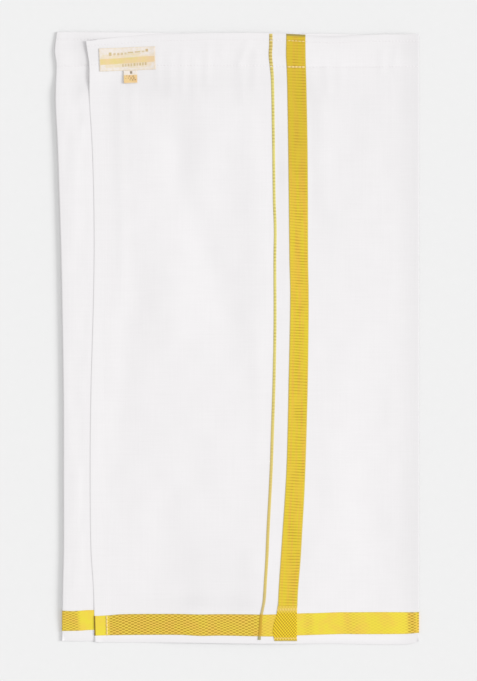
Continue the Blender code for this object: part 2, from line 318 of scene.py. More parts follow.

# %% [markdown]
# Pressed cotton that has been handled lies in long, soft folds. Each row of the next tables is one fold, as
# a line from its low end to its high end with a width and a height, a trough having a negative one. They
# are listed one by one, uneven in length and depth, because an even ripple would look like corrugated card.

# %% Tables of the folds
Fold = namedtuple("Fold", "low_x low_up high_x high_up width height")
OVER_FOLDS = (
    Fold(-114.0, 360.0, -119.0, 560.0, 13.0, 0.25),
    Fold(-126.0, 180.0, -112.0, 266.0, 26.0, -0.32),
    Fold(-112.0, 262.0, -100.0, 372.0, 28.0, -0.43),
    Fold(-52.0, 300.0, -84.0, 520.0, 58.0, 0.72),
    Fold(-46.0, 425.0, -72.0, 555.0, 26.0, -0.36),
    Fold(-2.0, 318.0, -44.0, 432.0, 32.0, -0.5),
    Fold(-35.0, 425.0, -37.0, 552.0, 30.0, 0.32),
    Fold(22.0, 296.0, 21.0, 500.0, 40.0, 0.54),
    Fold(14.0, 480.0, 14.0, 556.0, 20.0, 0.22),
    Fold(22.0, 190.0, 20.0, 310.0, 14.0, 0.18),
    Fold(-84.0, 50.0, -66.0, 160.0, 34.0, -0.4),
    Fold(-38.0, 26.0, -38.0, 90.0, 24.0, 0.25),
    Fold(16.0, 26.0, 14.0, 100.0, 24.0, 0.2),
    Fold(-16.0, 150.0, -22.0, 260.0, 40.0, 0.25),
    Fold(88.0, 440.0, 84.0, 560.0, 18.0, 0.32),
    Fold(98.0, 320.0, 92.0, 448.0, 24.0, 0.08),
    Fold(122.0, 470.0, 112.0, 540.0, 28.0, -0.29),
    Fold(94.0, 90.0, 108.0, 300.0, 48.0, 0.58),
    Fold(136.0, 40.0, 140.0, 260.0, 34.0, -0.18),
)
UNDER_FOLDS = (
    Fold(-159.0, 538.0, -147.0, 566.0, 10.0, 0.16),
    Fold(-156.0, 512.0, -149.0, 532.0, 8.0, 0.1),
    Fold(-163.0, 400.0, -163.0, 520.0, 14.0, 0.23),
    Fold(-161.0, 60.0, -160.0, 190.0, 14.0, 0.18),
)
GATHERS = (
    Fold(-78.0, 556.0, -79.0, 602.0, 7.0, 0.16),
    Fold(-66.0, 548.0, -66.0, 592.0, 8.0, 0.17),
    Fold(-54.0, 552.0, -53.0, 600.0, 7.0, 0.17),
    Fold(-41.0, 545.0, -42.0, 588.0, 8.0, 0.16),
    Fold(-30.0, 560.0, -28.0, 606.0, 6.0, 0.23),
    Fold(-15.0, 588.0, -13.0, 606.0, 7.0, 0.16),
    Fold(2.0, 578.0, 12.0, 606.0, 8.0, 0.35),
    Fold(6.0, 540.0, 4.0, 580.0, 10.0, 0.23),
    Fold(18.0, 556.0, 20.0, 596.0, 8.0, 0.2),
    Fold(76.0, 546.0, 74.0, 586.0, 12.0, 0.23),
    Fold(92.0, 550.0, 90.0, 580.0, 8.0, 0.2),
    Fold(104.0, 556.0, 104.0, 584.0, 7.0, 0.12),
    Fold(145.0, 570.0, 147.0, 600.0, 8.0, 0.2),
    Fold(158.0, 574.0, 160.0, 602.0, 7.0, 0.2),
    Fold(-104.0, 520.0, -103.0, 560.0, 8.0, 0.16),
)


def fold_height(folds, x, up):
    """The sum of the soft folds at places on a stretch. A fold fades out over its last quarter."""
    total = np.zeros_like(x * up)
    for fold in folds:
        run_x = fold.high_x - fold.low_x
        run_up = fold.high_up - fold.low_up
        run = math.hypot(run_x, run_up)
        share = ((x - fold.low_x) * run_x + (up - fold.low_up) * run_up) / run**2
        away = ((x - fold.low_x) * run_up - (up - fold.low_up) * run_x) / run
        fade = smooth(share * 4.0 + 0.5) * smooth((1.0 - share) * 4.0 + 0.5)
        total = total + fold.height * fade * np.exp(-((away / (0.5 * fold.width)) ** 2))
    return total


def wander(x, up, shortest, longest, seed):
    """Slow, uneven ripples of about one unit, as a sum of waves that cross in many directions."""
    draw = np.random.default_rng(seed)
    total = np.zeros_like(x * up)
    waves = 22
    for _ in range(waves):
        length = math.exp(draw.uniform(math.log(shortest), math.log(longest)))
        heading = draw.uniform(0.0, math.pi)
        phase = draw.uniform(0.0, math.tau)
        total = total + np.sin((x * math.cos(heading) + up * math.sin(heading)) * math.tau / length + phase)
    return total / math.sqrt(waves)


print(len(OVER_FOLDS) + len(UNDER_FOLDS), "folds placed by hand")

# %% [markdown]
# The three layers lie on each other: the back on the table, the under front on it and the over front on
# top. The height of such a stack is its own walls, the closest that they can lie, and their looseness above
# that. It is least at the hem and the waist, where an iron has pressed it, and towards the right fold.

# %% Height of the stack
SINGLE = 1.0
CASING = 1.4
GAP = 0.3
CLOTH = 0.45
TURNED_WALL = 0.62
TURNED_SLOPE = 3.0
CLEAR = 0.1
CASING_SLOPE = 40.0
HEM_PRESS = 0.75
HEM_PRESS_REACH = 42.0
WAIST_PRESS = 0.88
WAIST_PRESS_REACH = 30.0
SETTLE_START = 30.0
SETTLE_END = 152.0
SETTLED = 0.12


def wall_at(up):
    """The solid's wall, which the heights of the stack follow."""
    return SINGLE + (CASING - SINGLE) * smooth((up - SEAM + CASING_SLOPE) / CASING_SLOPE)


def wall_thickness(up):
    """The cloth's own wall: single cloth, or the turned layers of the casing."""
    return CLOTH + (TURNED_WALL - CLOTH) * smooth((up - SEAM + TURNED_SLOPE) / TURNED_SLOPE)


def pressed(up):
    """The share of its loose height that the cloth keeps, since its edges lie closer than its middle."""
    at_hem = HEM_PRESS * (1.0 - smooth(up / HEM_PRESS_REACH))
    at_waist = WAIST_PRESS * smooth((up - LENGTH + WAIST_PRESS_REACH) / WAIST_PRESS_REACH)
    return 1.0 - at_hem - at_waist


def settled(x):
    """The same for the way across: the stack is loose at the left and lies close at the right fold."""
    return 1.0 - (1.0 - SETTLED) * smooth((x - SETTLE_START) / (SETTLE_END - SETTLE_START))


def stack(layers, x, up):
    """The height of the top of some layers: the closest they can lie, and their looseness above that."""
    closest = layers * wall_thickness(up) + (layers - 1) * CLEAR
    loose = layers * wall_at(up) + (layers - 1) * GAP - closest
    return closest + loose * pressed(up) * settled(x)


print("three layers stand", round(float(stack(3, 0.0, 300.0)), 2), "mm high at the middle")

# %% [markdown]
# A side fold of pressed cotton is a low roll, not a knife edge, so each has a radius at every height. Its air
# is pressed out beside the casing. The hem sinks towards the table over its last few millimetres, and rests
# highest in the middle, where the layers below it hold it up. Each row of stitches pulls the cloth down.

# %% Rolls, hem and rows of stitches
LEFT_X = -175.0
LEFT_FOLD_AIR = 0.7
LEFT_FOLD_SINK = 0.72
LEFT_FOLD_SINK_START = 548.0
LEFT_FOLD_SINK_REACH = 24.0
RIGHT_FOLD_HEIGHT = 1.35
HEM_DROOP = 5.0
STITCH_PULL = 0.028
STITCH_HALF = 2.2

HemRest = namedtuple("HemRest", "x height")
HEM_RESTS = (
    HemRest(-182.0, 0.42),
    HemRest(-88.0, 0.44),
    HemRest(-56.0, 1.3),
    HemRest(40.0, 1.5),
    HemRest(76.0, 0.46),
    HemRest(170.0, 0.42),
    HemRest(182.0, 0.76),
)


def left_radius(up):
    """Half the height of the left fold: two walls and a little air, pressed closer at the casing."""
    closest = 2 * wall_thickness(up) + CLEAR
    loose = stack(2, LEFT_X, up) - closest + LEFT_FOLD_AIR * pressed(up)
    sunk = LEFT_FOLD_SINK * smooth((up - LEFT_FOLD_SINK_START) / LEFT_FOLD_SINK_REACH)
    return 0.5 * (closest + loose * (1.0 - sunk))


def right_radius(up):
    """Half the height of the right fold."""
    return np.maximum(0.5 * RIGHT_FOLD_HEIGHT * (0.4 + 0.6 * pressed(up)), wall_thickness(up) + 0.05)


def drooped(height, x, up):
    """Lets the last few millimetres of the hem sink towards the table, to the height that it rests at."""
    rest = along(HEM_RESTS, x, "height")
    return height - np.maximum(height - rest, 0.0) * (1.0 - smooth(up / HEM_DROOP))


def groove(distance):
    """How far a stitch line pulls the cloth down, by the distance from that line."""
    return STITCH_PULL * np.clip(1.0 - np.abs(distance) / STITCH_HALF, 0.0, 1.0)


print("the left fold is", round(float(2 * left_radius(300.0)), 2), "mm high at its middle")

# %% [markdown]
# On top of the stack comes what a low light shows: the long folds, ripples too fine to place by hand, the
# step at the free edge, and small gathers below the casing. Beside the label the free edge's corner lifts
# off the layer below, and its shadow there is what tells the eye that the front is a loose flap.

# %% Outer faces of the two fronts
LEFT_FOLD_LEVEL = 26.0
LEFT_FOLD_REACH = 50.0
FOLD_ROLL_OFF = 0.25
FOLD_FADE = 8.0
UNDER_RIPPLE = 0.07
OVER_RIPPLE = 0.1
OVER_LOFT = 0.5
CASING_CALM = 0.75
EDGE_REACH = 80.0
EDGE_STEP = 0.29
EDGE_STEP_AT_HEM = 0.24
CORNER_REACH = 50.0

CornerPoint = namedtuple("CornerPoint", "up lift")
CORNER_LIFTS = (
    CornerPoint(540.0, 0.0),
    CornerPoint(554.0, 0.4),
    CornerPoint(565.0, 1.5),
    CornerPoint(575.0, 1.5),
    CornerPoint(584.0, 1.1),
    CornerPoint(594.0, 1.1),
    CornerPoint(600.0, 1.4),
    CornerPoint(613.0, 1.7),
)


def under_height(x, up):
    """The height of the under front's outer face."""
    left = along(SECTIONS, up, "left_fold")
    free = along(SECTIONS, up, "free_edge")
    in_from_fold = np.maximum(x - left - left_radius(up), 0.0)
    lift = 2 * left_radius(up) - stack(2, LEFT_X, up) + FOLD_ROLL_OFF
    lift = lift * (1.0 - smooth((in_from_fold - LEFT_FOLD_LEVEL) / LEFT_FOLD_REACH))
    roll_off = FOLD_ROLL_OFF * np.exp(-in_from_fold / 2.5)
    shown = smooth((free - 3.0 - x) / FOLD_FADE) * smooth(in_from_fold / FOLD_FADE) * pressed(up)
    fine = UNDER_RIPPLE * wander(x, up, 18.0, 60.0, seed=5)
    height = stack(2, x, up) + lift - roll_off + shown * (fold_height(UNDER_FOLDS, x, up) + fine)
    return drooped(height, x, up)


def over_height(x, up):
    """The height of the over front's outer face."""
    keep = pressed(up)
    free = along(SECTIONS, up, "free_edge")
    to_fold = smooth((x - SETTLE_END) / (RIGHT_FOLD - SETTLE_END - 2.0))
    level = stack(3, x, up)
    level = level + (2 * right_radius(up) - stack(3, RIGHT_FOLD, up)) * to_fold
    below_casing = 1.0 - CASING_CALM * smooth((up - SEAM + 30.0) / 30.0)
    fine = OVER_RIPPLE * wander(x, up, 24.0, 90.0, seed=3)
    loft = (OVER_LOFT + fold_height(OVER_FOLDS, x, up) + fine) * below_casing * (1.0 - to_fold)
    level = level + np.maximum(0.0, loft) * keep
    from_edge = smooth((x - free - SIDE_HEM) / EDGE_REACH)
    step = EDGE_STEP + EDGE_STEP_AT_HEM * (1.0 - smooth((up - 20.0) / 35.0))
    past_hem = smooth((x - free - SIDE_HEM) / 20.0)
    edge_level = under_height(free, up) + step
    edge_level = edge_level + (fold_height(OVER_FOLDS, x, up) + fine) * keep * (past_hem * below_casing)
    level = edge_level + (level - edge_level) * from_edge
    corner = along(CORNER_LIFTS, up, "lift") * (1.0 - smooth((x - free) / CORNER_REACH))
    gathers = fold_height(GATHERS, x, up) * (1.0 - to_fold) * (0.3 + 0.7 * keep)
    pull = np.maximum(groove(up - SEAM), 0.5 * groove(x - free - SIDE_HEM - 0.9))
    pull = np.maximum(pull, groove(up - TOP_ROW))
    sinks = smooth((x - free - 2.0) / 6.0)
    height = level + corner + gathers - pull
    return height + sinks * (drooped(height, x, up) - height)


middle_height = float(over_height(np.array(0.0), np.array(300.0)))
print("the over front lies at", round(middle_height, 2), "mm at its middle")

# %% [markdown]
# A point on a stretch is named by its distance along the cloth and its distance up. Past the flat part the
# cloth rolls round the side fold and ends under it, where the back begins, so no gap shows at the fold.

# %% Places on each stretch
HEM_BEND = 60.0
FOLD_SQUARE = 0.6


def bend(up, x, hem, waist):
    """Moves a level row to follow its stretch's hem and waist. The casing's stitch line stays level."""
    rise = along(hem, x, "rise") * (1.0 - smooth(up / HEM_BEND))
    drop = along(waist, x, "drop") * np.maximum(0.0, up - SEAM) / CASING_DEPTH
    return up + rise - drop


def unbend(y_up, x, hem, waist):
    """The level row that bend() moves to a height, so that a piece can be placed by where it is seen."""
    rise = along(hem, x, "rise") * (1.0 - smooth(y_up / HEM_BEND))
    drop = along(waist, x, "drop")
    in_casing = SEAM + (y_up - SEAM) / (1.0 - drop / CASING_DEPTH)
    return np.where(y_up > SEAM, in_casing, y_up - rise)


def over_run(up):
    """The over front's flat width, from its free edge to where it starts to roll round the right fold."""
    return RIGHT_FOLD - right_radius(up) - along(SECTIONS, up, "free_edge")


def squared_turn(turn):
    """A half turn round a fold that is pressed flatter than a circle, as its distances across and up."""
    across = np.sin(turn) ** FOLD_SQUARE
    rise = np.sign(np.cos(turn)) * np.abs(np.cos(turn)) ** FOLD_SQUARE
    return across, rise


def over_place(distance, up):
    """Points on the over front's outer face, by their distance from its free edge."""
    run = over_run(up)
    radius = right_radius(up)
    turn = np.clip((distance - run) / radius, 0.0, math.pi)
    flat_x = along(SECTIONS, up, "free_edge") + np.minimum(distance, run)
    across, rise = squared_turn(turn)
    x = flat_x + radius * across
    z = np.where(turn > 0.0, radius * (1.0 + rise), over_height(flat_x, up))
    return np.stack([x, bend(up, x, OVER_HEM, OVER_WAIST), z], axis=-1)


def under_place(distance, up):
    """Points on the under front's outer face, by their distance from the bottom of the left fold."""
    radius = left_radius(up)
    left = along(SECTIONS, up, "left_fold")
    half_turn = math.pi * radius
    turn = np.clip(distance / radius, 0.0, math.pi)
    flat_x = left + radius + np.maximum(distance - half_turn, 0.0)
    across, rise = squared_turn(turn)
    x = flat_x - radius * across
    z = np.where(turn < math.pi, radius * (1.0 - rise), under_height(flat_x, up))
    return np.stack([x, bend(up, x, UNDER_HEM, UNDER_WAIST), z], axis=-1)


def back_place(share, up):
    """Points on the back's outer face, on the table, from the right fold (0) to the left one (1)."""
    right = RIGHT_FOLD - right_radius(up)
    left = along(SECTIONS, up, "left_fold") + left_radius(up)
    x = right + (left - right) * share
    return np.stack([x, bend(up, x, BACK_HEM, BACK_WAIST), np.zeros_like(x)], axis=-1)


print("the over front runs", round(float(over_run(np.array(300.0))), 1), "mm from its edge to the right fold")

# %% [markdown]
# A shell is a grid of outer points, the same grid moved in along its normals, and a rounded rim between the
# two. Building it from its own points, and not with a modifier, gives each edge the roundness of a fold.

# %% Shell builder
RIM_STEPS = 3


def grid_normals(points):
    """The outward normal at each point of a grid of rows and columns."""
    across = np.gradient(points, axis=1)
    upward = np.gradient(points, axis=0)
    normals = np.cross(across, upward)
    return normals / np.linalg.norm(normals, axis=2, keepdims=True)


def unit(vectors):
    """The same directions, each one unit long."""
    return vectors / np.linalg.norm(vectors, axis=-1, keepdims=True)


def link_mesh(name, points, faces, uv, materials):
    """A mesh object in the row frame from points in millimetres, with its UV map in millimetres of cloth."""
    mesh = bpy.data.meshes.new(name)
    placed = (np.asarray(points) + [0.0, UP_TO_Y, 0.0]) * MM
    mesh.from_pydata(placed.tolist(), [], faces)
    layer = mesh.uv_layers.new(name="weave")
    corners = np.empty(len(mesh.loops), dtype=np.int32)
    mesh.loops.foreach_get("vertex_index", corners)
    layer.data.foreach_set("uv", np.asarray(uv, dtype=np.float32)[corners].ravel())
    for material in materials:
        mesh.materials.append(material)
    mesh.shade_smooth()
    made = bpy.data.objects.new(name, mesh)
    bpy.context.scene.collection.objects.link(made)
    return made


def shell(name, outer, wall, uv, material, flat_sides=()):
    """A closed cloth shell from a grid of outer points. Sides named "start" or "end" get a flat rim."""
    rows, columns = outer.shape[:2]
    normals = grid_normals(outer)
    wall = np.broadcast_to(wall, (rows, columns))[..., None]
    inner = outer - wall * normals
    border = [(0, column) for column in range(columns)]
    border += [(row, columns - 1) for row in range(1, rows)]
    border += [(rows - 1, column) for column in range(columns - 2, -1, -1)]
    border += [(row, 0) for row in range(rows - 2, 0, -1)]
    at_row, at_column = np.array(border).T
    across = unit(np.gradient(outer, axis=1))[at_row, at_column]
    upward = unit(np.gradient(outer, axis=0))[at_row, at_column]
    out = np.zeros((len(border), 3))
    out[at_row == 0] -= upward[at_row == 0]
    out[at_row == rows - 1] += upward[at_row == rows - 1]
    if "start" not in flat_sides:
        out[at_column == 0] -= across[at_column == 0]
    if "end" not in flat_sides:
        out[at_column == columns - 1] += across[at_column == columns - 1]
    half = 0.5 * wall[at_row, at_column]
    middle = outer[at_row, at_column] - half * normals[at_row, at_column]
    rings = []
    for step in range(1, RIM_STEPS + 1):
        turn = math.pi * step / (RIM_STEPS + 1)
        rings.append(middle + half * (math.cos(turn) * normals[at_row, at_column] + math.sin(turn) * out))
    points = np.concatenate([outer.reshape(-1, 3), inner.reshape(-1, 3), *rings])
    grid = np.arange(rows * columns).reshape(rows, columns)
    quads = np.stack([grid[:-1, :-1], grid[:-1, 1:], grid[1:, 1:], grid[1:, :-1]], axis=-1).reshape(-1, 4)
    loops = [grid[at_row, at_column]]
    loops += [2 * grid.size + index * len(border) + np.arange(len(border)) for index in range(RIM_STEPS)]
    loops.append(grid[at_row, at_column] + grid.size)
    rim = [np.stack([np.roll(high, -1), high, low, np.roll(low, -1)], axis=-1)
           for high, low in zip(loops[:-1], loops[1:])]
    faces = np.concatenate([quads, quads[:, ::-1] + grid.size, *rim]).tolist()
    border_uv = uv[at_row, at_column]
    all_uv = np.concatenate([uv.reshape(-1, 2), uv.reshape(-1, 2), *[border_uv] * RIM_STEPS])
    made = link_mesh(name, points, faces, all_uv, [material])
    print(f"{name}: {len(faces) * 2} triangles")
    return made


print("a rim is rounded in", RIM_STEPS + 1, "steps")

# %% [markdown]
# ## Cotton
#
# The cloth is bleached, plain-woven cotton, calendered to a soft sheen. At one pixel to a millimetre its
# threads are too fine to show, so what gives it life is slub: threads that run thick and thin along both
# directions and shade the cloth by a few parts in a thousand. The weave itself is bump, drawn about three
# times as coarse as the real 0.28 mm thread spacing so that it shows at all in a close view.

# %% Cotton material
THREAD = 0.85


def cotton_material():
    """Matt white cotton: slubs along both threads, base tone and painted shade from the mesh, and the weave
    as bump.
    """
    material, tree, shader = new_material("Bleached plain-woven cotton", roughness=0.92, sheen=0.08)
    shader.inputs["Sheen Roughness"].default_value = 0.45
    shader.inputs["Specular IOR Level"].default_value = 0.25
    place = add_node(tree, "ShaderNodeTexCoord")
    millimetres = add_node(
        tree, "ShaderNodeVectorMath", {0: place.outputs["Object"], 3: 1000.0}, operation="SCALE")
    slubs = []
    for stretch in ((0.02, 0.9, 1.0), (0.9, 0.02, 1.0)):
        run = add_node(tree, "ShaderNodeMapping", {"Vector": millimetres.outputs[0], "Scale": stretch})
        slubs.append(add_node(
            tree, "ShaderNodeTexNoise", {"Vector": run.outputs[0], "Scale": 1.0, "Detail": 2.0}))
    slub = add_node(
        tree, "ShaderNodeMath", {0: slubs[0].outputs["Fac"], 1: slubs[1].outputs["Fac"]}, operation="ADD")
    tone = add_node(tree, "ShaderNodeMapRange", {"Value": slub.outputs[0], 1: 0.6, 2: 1.4})
    colour = add_node(tree, "ShaderNodeMix",
                      {0: tone.outputs[0], 6: linear("eae8e9"), 7: linear("edebec")}, data_type="RGBA")
    # The mesh's grey is the cloth's base tone with painted shade on it, mixed towards a dark grey.
    tone_and_shade_attribute = add_node(tree, "ShaderNodeAttribute", attribute_name="grey")
    colour = add_node(
        tree, "ShaderNodeMix", {0: tone_and_shade_attribute.outputs["Fac"], 6: colour.outputs[2], 7: linear("606062")},
        data_type="RGBA")
    tree.links.new(colour.outputs[2], shader.inputs["Base Color"])
    waves = []
    for direction in ("X", "Y"):
        waves.append(add_node(
            tree, "ShaderNodeTexWave",
            {"Vector": millimetres.outputs[0], "Scale": 0.314 / THREAD, "Distortion": 0.6, "Detail": 1.0},
            bands_direction=direction))
    weave = add_node(tree, "ShaderNodeMath", {0: waves[0].outputs["Fac"], 1: waves[1].outputs["Fac"]},
                     operation="MULTIPLY")
    relief = add_node(tree, "ShaderNodeMath", {0: weave.outputs[0], 1: slub.outputs[0]}, operation="ADD")
    bump = add_node(
        tree, "ShaderNodeBump", {"Height": relief.outputs[0], "Strength": 0.25, "Distance": 0.00006})
    tree.links.new(bump.outputs["Normal"], shader.inputs["Normal"])
    return material


cotton = cotton_material()
print("material:", cotton.name)

# %% [markdown]
# The over front is the piece that the eye rests on, so it gets the finest grid: about 2.4 mm a cell, and
# closer along the hem, the seams and the fold. The single cloth is a thin wall. The waist casing and the
# side hem are turned, so their walls are as thick as the layers that they hold.

# %% Columns, rows and walls
CELL = 2.4


def spaced(start, stop, cell):
    """Even places from start to stop, about a cell apart."""
    return np.linspace(start, stop, max(2, round((stop - start) / cell) + 1))


def rows_up(cell):
    """Heights of a stretch's rows, closer at the hem, at the casing's two stitch lines and at the waist."""
    seams = [line + offset for line in (SEAM, TOP_ROW) for offset in (-1.4, -0.7, 0.0, 0.7, 1.4)]
    ends = [0.5, 1.5, LENGTH - 1.6, LENGTH - 0.5]
    near = np.array(seams + ends)
    even = spaced(3.0, LENGTH - 3.0, cell)
    clear = np.abs(even[:, None] - near[None, :]).min(axis=1) > 0.4 * cell
    return np.sort(np.concatenate([even[clear], near]))[:, None]


def cloth_uv(distance, up):
    """A UV in millimetres along and up the cloth, for each point of a grid."""
    return np.stack(np.broadcast_arrays(distance, up), axis=-1)


ROWS = rows_up(CELL)
print(len(ROWS), "rows")

# %% [markdown]
# The cotton has one base tone. On it the mesh carries painted shade as an amount of grey, in a few parts of a
# hundred: painted shade that grows towards the right fold and over its roll, and soft patches, given one by
# one, of painted shade below the casing, along the waist edge, beside the lifted corner and low on the front.
# A negative patch is painted light, lighter than the cloth round it. A noise texture would spread them
# evenly.

# %% Base tone and painted shade of the cloth
Patch = namedtuple("Patch", "x up half_width half_height amount")
# Patches of painted shade, and of painted light where the amount is negative.
OVER_PAINTED_SHADING = (
    Patch(47.0, 480.0, 5.0, 30.0, 0.026),
    Patch(48.0, 372.0, 4.0, 24.0, 0.018),
    Patch(73.0, 304.0, 4.0, 14.0, 0.018),
    Patch(-42.0, 44.0, 16.0, 7.0, 0.016),
    Patch(-112.0, 8.0, 34.0, 4.5, -0.016),
    Patch(118.0, 7.0, 56.0, 4.5, -0.016),
    Patch(12.0, 588.0, 12.0, 10.0, 0.018),
    Patch(-76.0, 520.0, 9.0, 30.0, 0.01),
    Patch(-32.0, 495.0, 12.0, 24.0, 0.012),
    Patch(-72.0, 424.0, 8.0, 26.0, -0.012),
    Patch(-30.0, 562.0, 60.0, 20.0, 0.022),
    Patch(12.0, 560.0, 22.0, 22.0, 0.02),
    Patch(84.0, 562.0, 26.0, 22.0, 0.04),
    Patch(80.0, 526.0, 14.0, 36.0, 0.028),
    Patch(84.0, 425.0, 12.0, 30.0, 0.018),
    Patch(45.0, 468.0, 6.0, 26.0, 0.03),
    Patch(45.0, 440.0, 7.0, 150.0, 0.03),
    Patch(42.0, 190.0, 7.0, 50.0, 0.03),
    Patch(100.0, 430.0, 26.0, 110.0, 0.022),
    Patch(130.0, 520.0, 32.0, 60.0, 0.012),
    Patch(66.0, 70.0, 8.0, 30.0, 0.02),
    Patch(150.0, 555.0, 40.0, 30.0, 0.018),
    Patch(-116.0, 538.0, 10.0, 36.0, 0.042),
    Patch(-56.0, 455.0, 7.0, 34.0, 0.018),
    Patch(-80.0, 556.0, 40.0, 13.0, 0.036),
    Patch(-76.0, 530.0, 10.0, 16.0, 0.02),
    Patch(-38.0, 520.0, 13.0, 26.0, 0.025),
    Patch(-48.0, 500.0, 10.0, 50.0, 0.018),
    Patch(-88.0, 440.0, 16.0, 60.0, -0.02),
    Patch(-56.0, 320.0, 12.0, 40.0, -0.018),
    Patch(10.0, 390.0, 12.0, 90.0, 0.012),
    Patch(-138.0, 200.0, 7.0, 90.0, -0.022),
    Patch(-139.0, 330.0, 6.0, 60.0, -0.01),
    Patch(-34.0, 72.0, 26.0, 36.0, 0.034),
    Patch(8.0, 66.0, 14.0, 34.0, 0.018),
    Patch(24.0, 60.0, 12.0, 24.0, 0.01),
    Patch(-20.0, 40.0, 70.0, 10.0, 0.034),
    Patch(120.0, 5.0, 66.0, 5.0, -0.03),
    Patch(-110.0, 5.0, 40.0, 5.0, -0.025),
    Patch(-104.0, 170.0, 14.0, 60.0, 0.01),
    Patch(124.0, 244.0, 14.0, 36.0, 0.015),
    Patch(120.0, 490.0, 16.0, 26.0, 0.012),
    Patch(168.0, 490.0, 14.0, 70.0, 0.016),
    Patch(170.0, 110.0, 12.0, 60.0, 0.02),
    Patch(-50.0, 598.0, 60.0, 16.0, 0.02),
    Patch(-132.0, 600.0, 20.0, 14.0, 0.045),
    Patch(-128.0, 586.0, 20.0, 12.0, 0.015),
    Patch(44.0, 600.0, 10.0, 20.0, 0.045),
    Patch(44.0, 566.0, 9.0, 12.0, 0.03),
    Patch(90.0, 600.0, 60.0, 16.0, 0.014),
    Patch(170.0, 598.0, 16.0, 14.0, 0.035),
    Patch(-72.0, 613.6, 34.0, 2.6, 0.06),
    Patch(96.0, 613.6, 34.0, 2.8, 0.11),
)
# Patches of painted shadow on the strip of the under front, beside the over front's lifted corner.
UNDER_PAINTED_SHADING = (
    Patch(-156.0, 567.0, 6.0, 6.0, 0.03),
    Patch(-150.0, 583.0, 9.0, 18.0, 0.07),
    Patch(-153.0, 557.0, 9.0, 7.0, 0.05),
    Patch(-156.0, 558.0, 12.0, 12.0, 0.012),
    Patch(-160.0, 548.0, 7.0, 7.0, 0.02),
    Patch(-154.0, 523.0, 4.0, 9.0, 0.028),
    Patch(-154.0, 602.0, 12.0, 10.0, 0.045),
    Patch(-162.0, 600.0, 20.0, 10.0, 0.02),
)
BASE_GREY = 0.036
# Painted shade: the cloth darkens towards the right fold, and more over the roll round that fold.
EDGE_PAINTED_SHADE = 0.058
EDGE_PAINTED_SHADE_REACH = 34.0
EDGE_PAINTED_SHADE_RAMP = 26.0
FOLD_PAINTED_SHADE = 0.3


def tone_and_painted_shade_at(x, up, patches):
    """Base tone and painted shade at places on a stretch. A patch stays on its own side of the casing's
    stitch line.
    """
    total = BASE_GREY + EDGE_PAINTED_SHADE * smooth((x - RIGHT_FOLD + EDGE_PAINTED_SHADE_REACH) / EDGE_PAINTED_SHADE_RAMP)
    for patch in patches:
        away = ((x - patch.x) / patch.half_width) ** 2 + ((up - patch.up) / patch.half_height) ** 2
        same_side = np.where((up < SEAM) == (patch.up < SEAM), 1.0, 0.15)
        total = total + patch.amount * np.exp(-away) * same_side
    return total


def add_amounts(piece, name, amounts):
    """Keeps an amount for each grid point of a shell, the same on both of its faces and round its rim."""
    both = np.concatenate([amounts.ravel(), amounts.ravel()])
    rim = np.full(len(piece.data.vertices) - len(both), float(amounts.mean()))
    layer = piece.data.attributes.new(name, "FLOAT", "POINT")
    layer.data.foreach_set("value", np.concatenate([both, rim]).astype(np.float32))


print(len(OVER_PAINTED_SHADING) + len(UNDER_PAINTED_SHADING), "patches of grey")

# %% [markdown]
# The over front's columns run from its free edge, over the side hem and the open cloth, and round the right
# fold. A cloth simulation could lay it too, but it would move the edges that the tables give. A grid from
# known columns keeps them, and gives each point its distance along the cloth for the UV.

# %% Over front
ROLL_STEPS = 12


def over_distances(up, cell):
    """Distances from the free edge at each column: the side hem, the open cloth, and the roll at the fold."""
    hem = np.array([0.6, 1.6, 3.2, 5.0, 7.0, 9.0, 10.6, 11.3, 12.0, 12.7, 13.4, 15.0, 17.0])
    open_shares = spaced(0.0, 1.0, cell / 315.0)[1:]
    roll = np.linspace(0.0, math.pi, ROLL_STEPS + 1)[1:]
    run = over_run(up)
    return np.concatenate([
        np.broadcast_to(hem, (len(up), len(hem))),
        hem[-1] + (run - hem[-1]) * open_shares,
        run + right_radius(up) * roll,
    ], axis=1)


distances = over_distances(ROWS, CELL)
outer = over_place(distances, ROWS + 0.0 * distances)
edge_wall = np.where(distances < SIDE_HEM + 8.0, EDGE_STEP - 0.04, TURNED_WALL)
over_wall = np.minimum(wall_thickness(ROWS), edge_wall)
over_front = shell("over_front_cloth", outer, over_wall, cloth_uv(distances, ROWS), cotton,
                   flat_sides=("end",))
# Painted shade over the roll round the right fold, weaker towards the hem.
fold_shade_share = smooth((distances - over_run(ROWS) - 0.1) / 0.9) * (0.15 + 0.85 * smooth(ROWS / 14.0))
tones_and_painted_shade = tone_and_painted_shade_at(outer[..., 0], ROWS + 0.0 * distances, OVER_PAINTED_SHADING)
add_amounts(over_front, "grey", tones_and_painted_shade + FOLD_PAINTED_SHADE * fold_shade_share)

# %% [markdown]
# The under front shows only as a strip beside the left fold, and runs on unseen below the over front to its
# hidden edge. Its grid is fine where it shows and coarse where it is covered.

# %% Under front


def under_distances(up, cell):
    """Distances from the bottom of the left fold at each column: the roll, the strip that shows, the rest."""
    roll = np.linspace(0.0, math.pi, ROLL_STEPS + 1)
    shown = spaced(0.0, 46.0, 0.6 * cell)[1:]
    half_turn = math.pi * left_radius(up)
    flat_run = HIDDEN_EDGE - along(SECTIONS, up, "left_fold") - left_radius(up)
    hidden = spaced(0.0, 1.0, 5 * cell / 290.0)[1:]
    return np.concatenate([
        left_radius(up) * roll,
        half_turn + shown + 0.0 * up,
        half_turn + shown[-1] + (flat_run - shown[-1]) * hidden,
    ], axis=1)


distances = under_distances(ROWS, CELL)
outer = under_place(distances, ROWS + 0.0 * distances)
under_front = shell("under_front_cloth", outer, wall_thickness(ROWS), cloth_uv(distances, ROWS), cotton,
                    flat_sides=("start",))
add_amounts(under_front, "grey", tone_and_painted_shade_at(outer[..., 0], ROWS + 0.0 * distances, UNDER_PAINTED_SHADING))

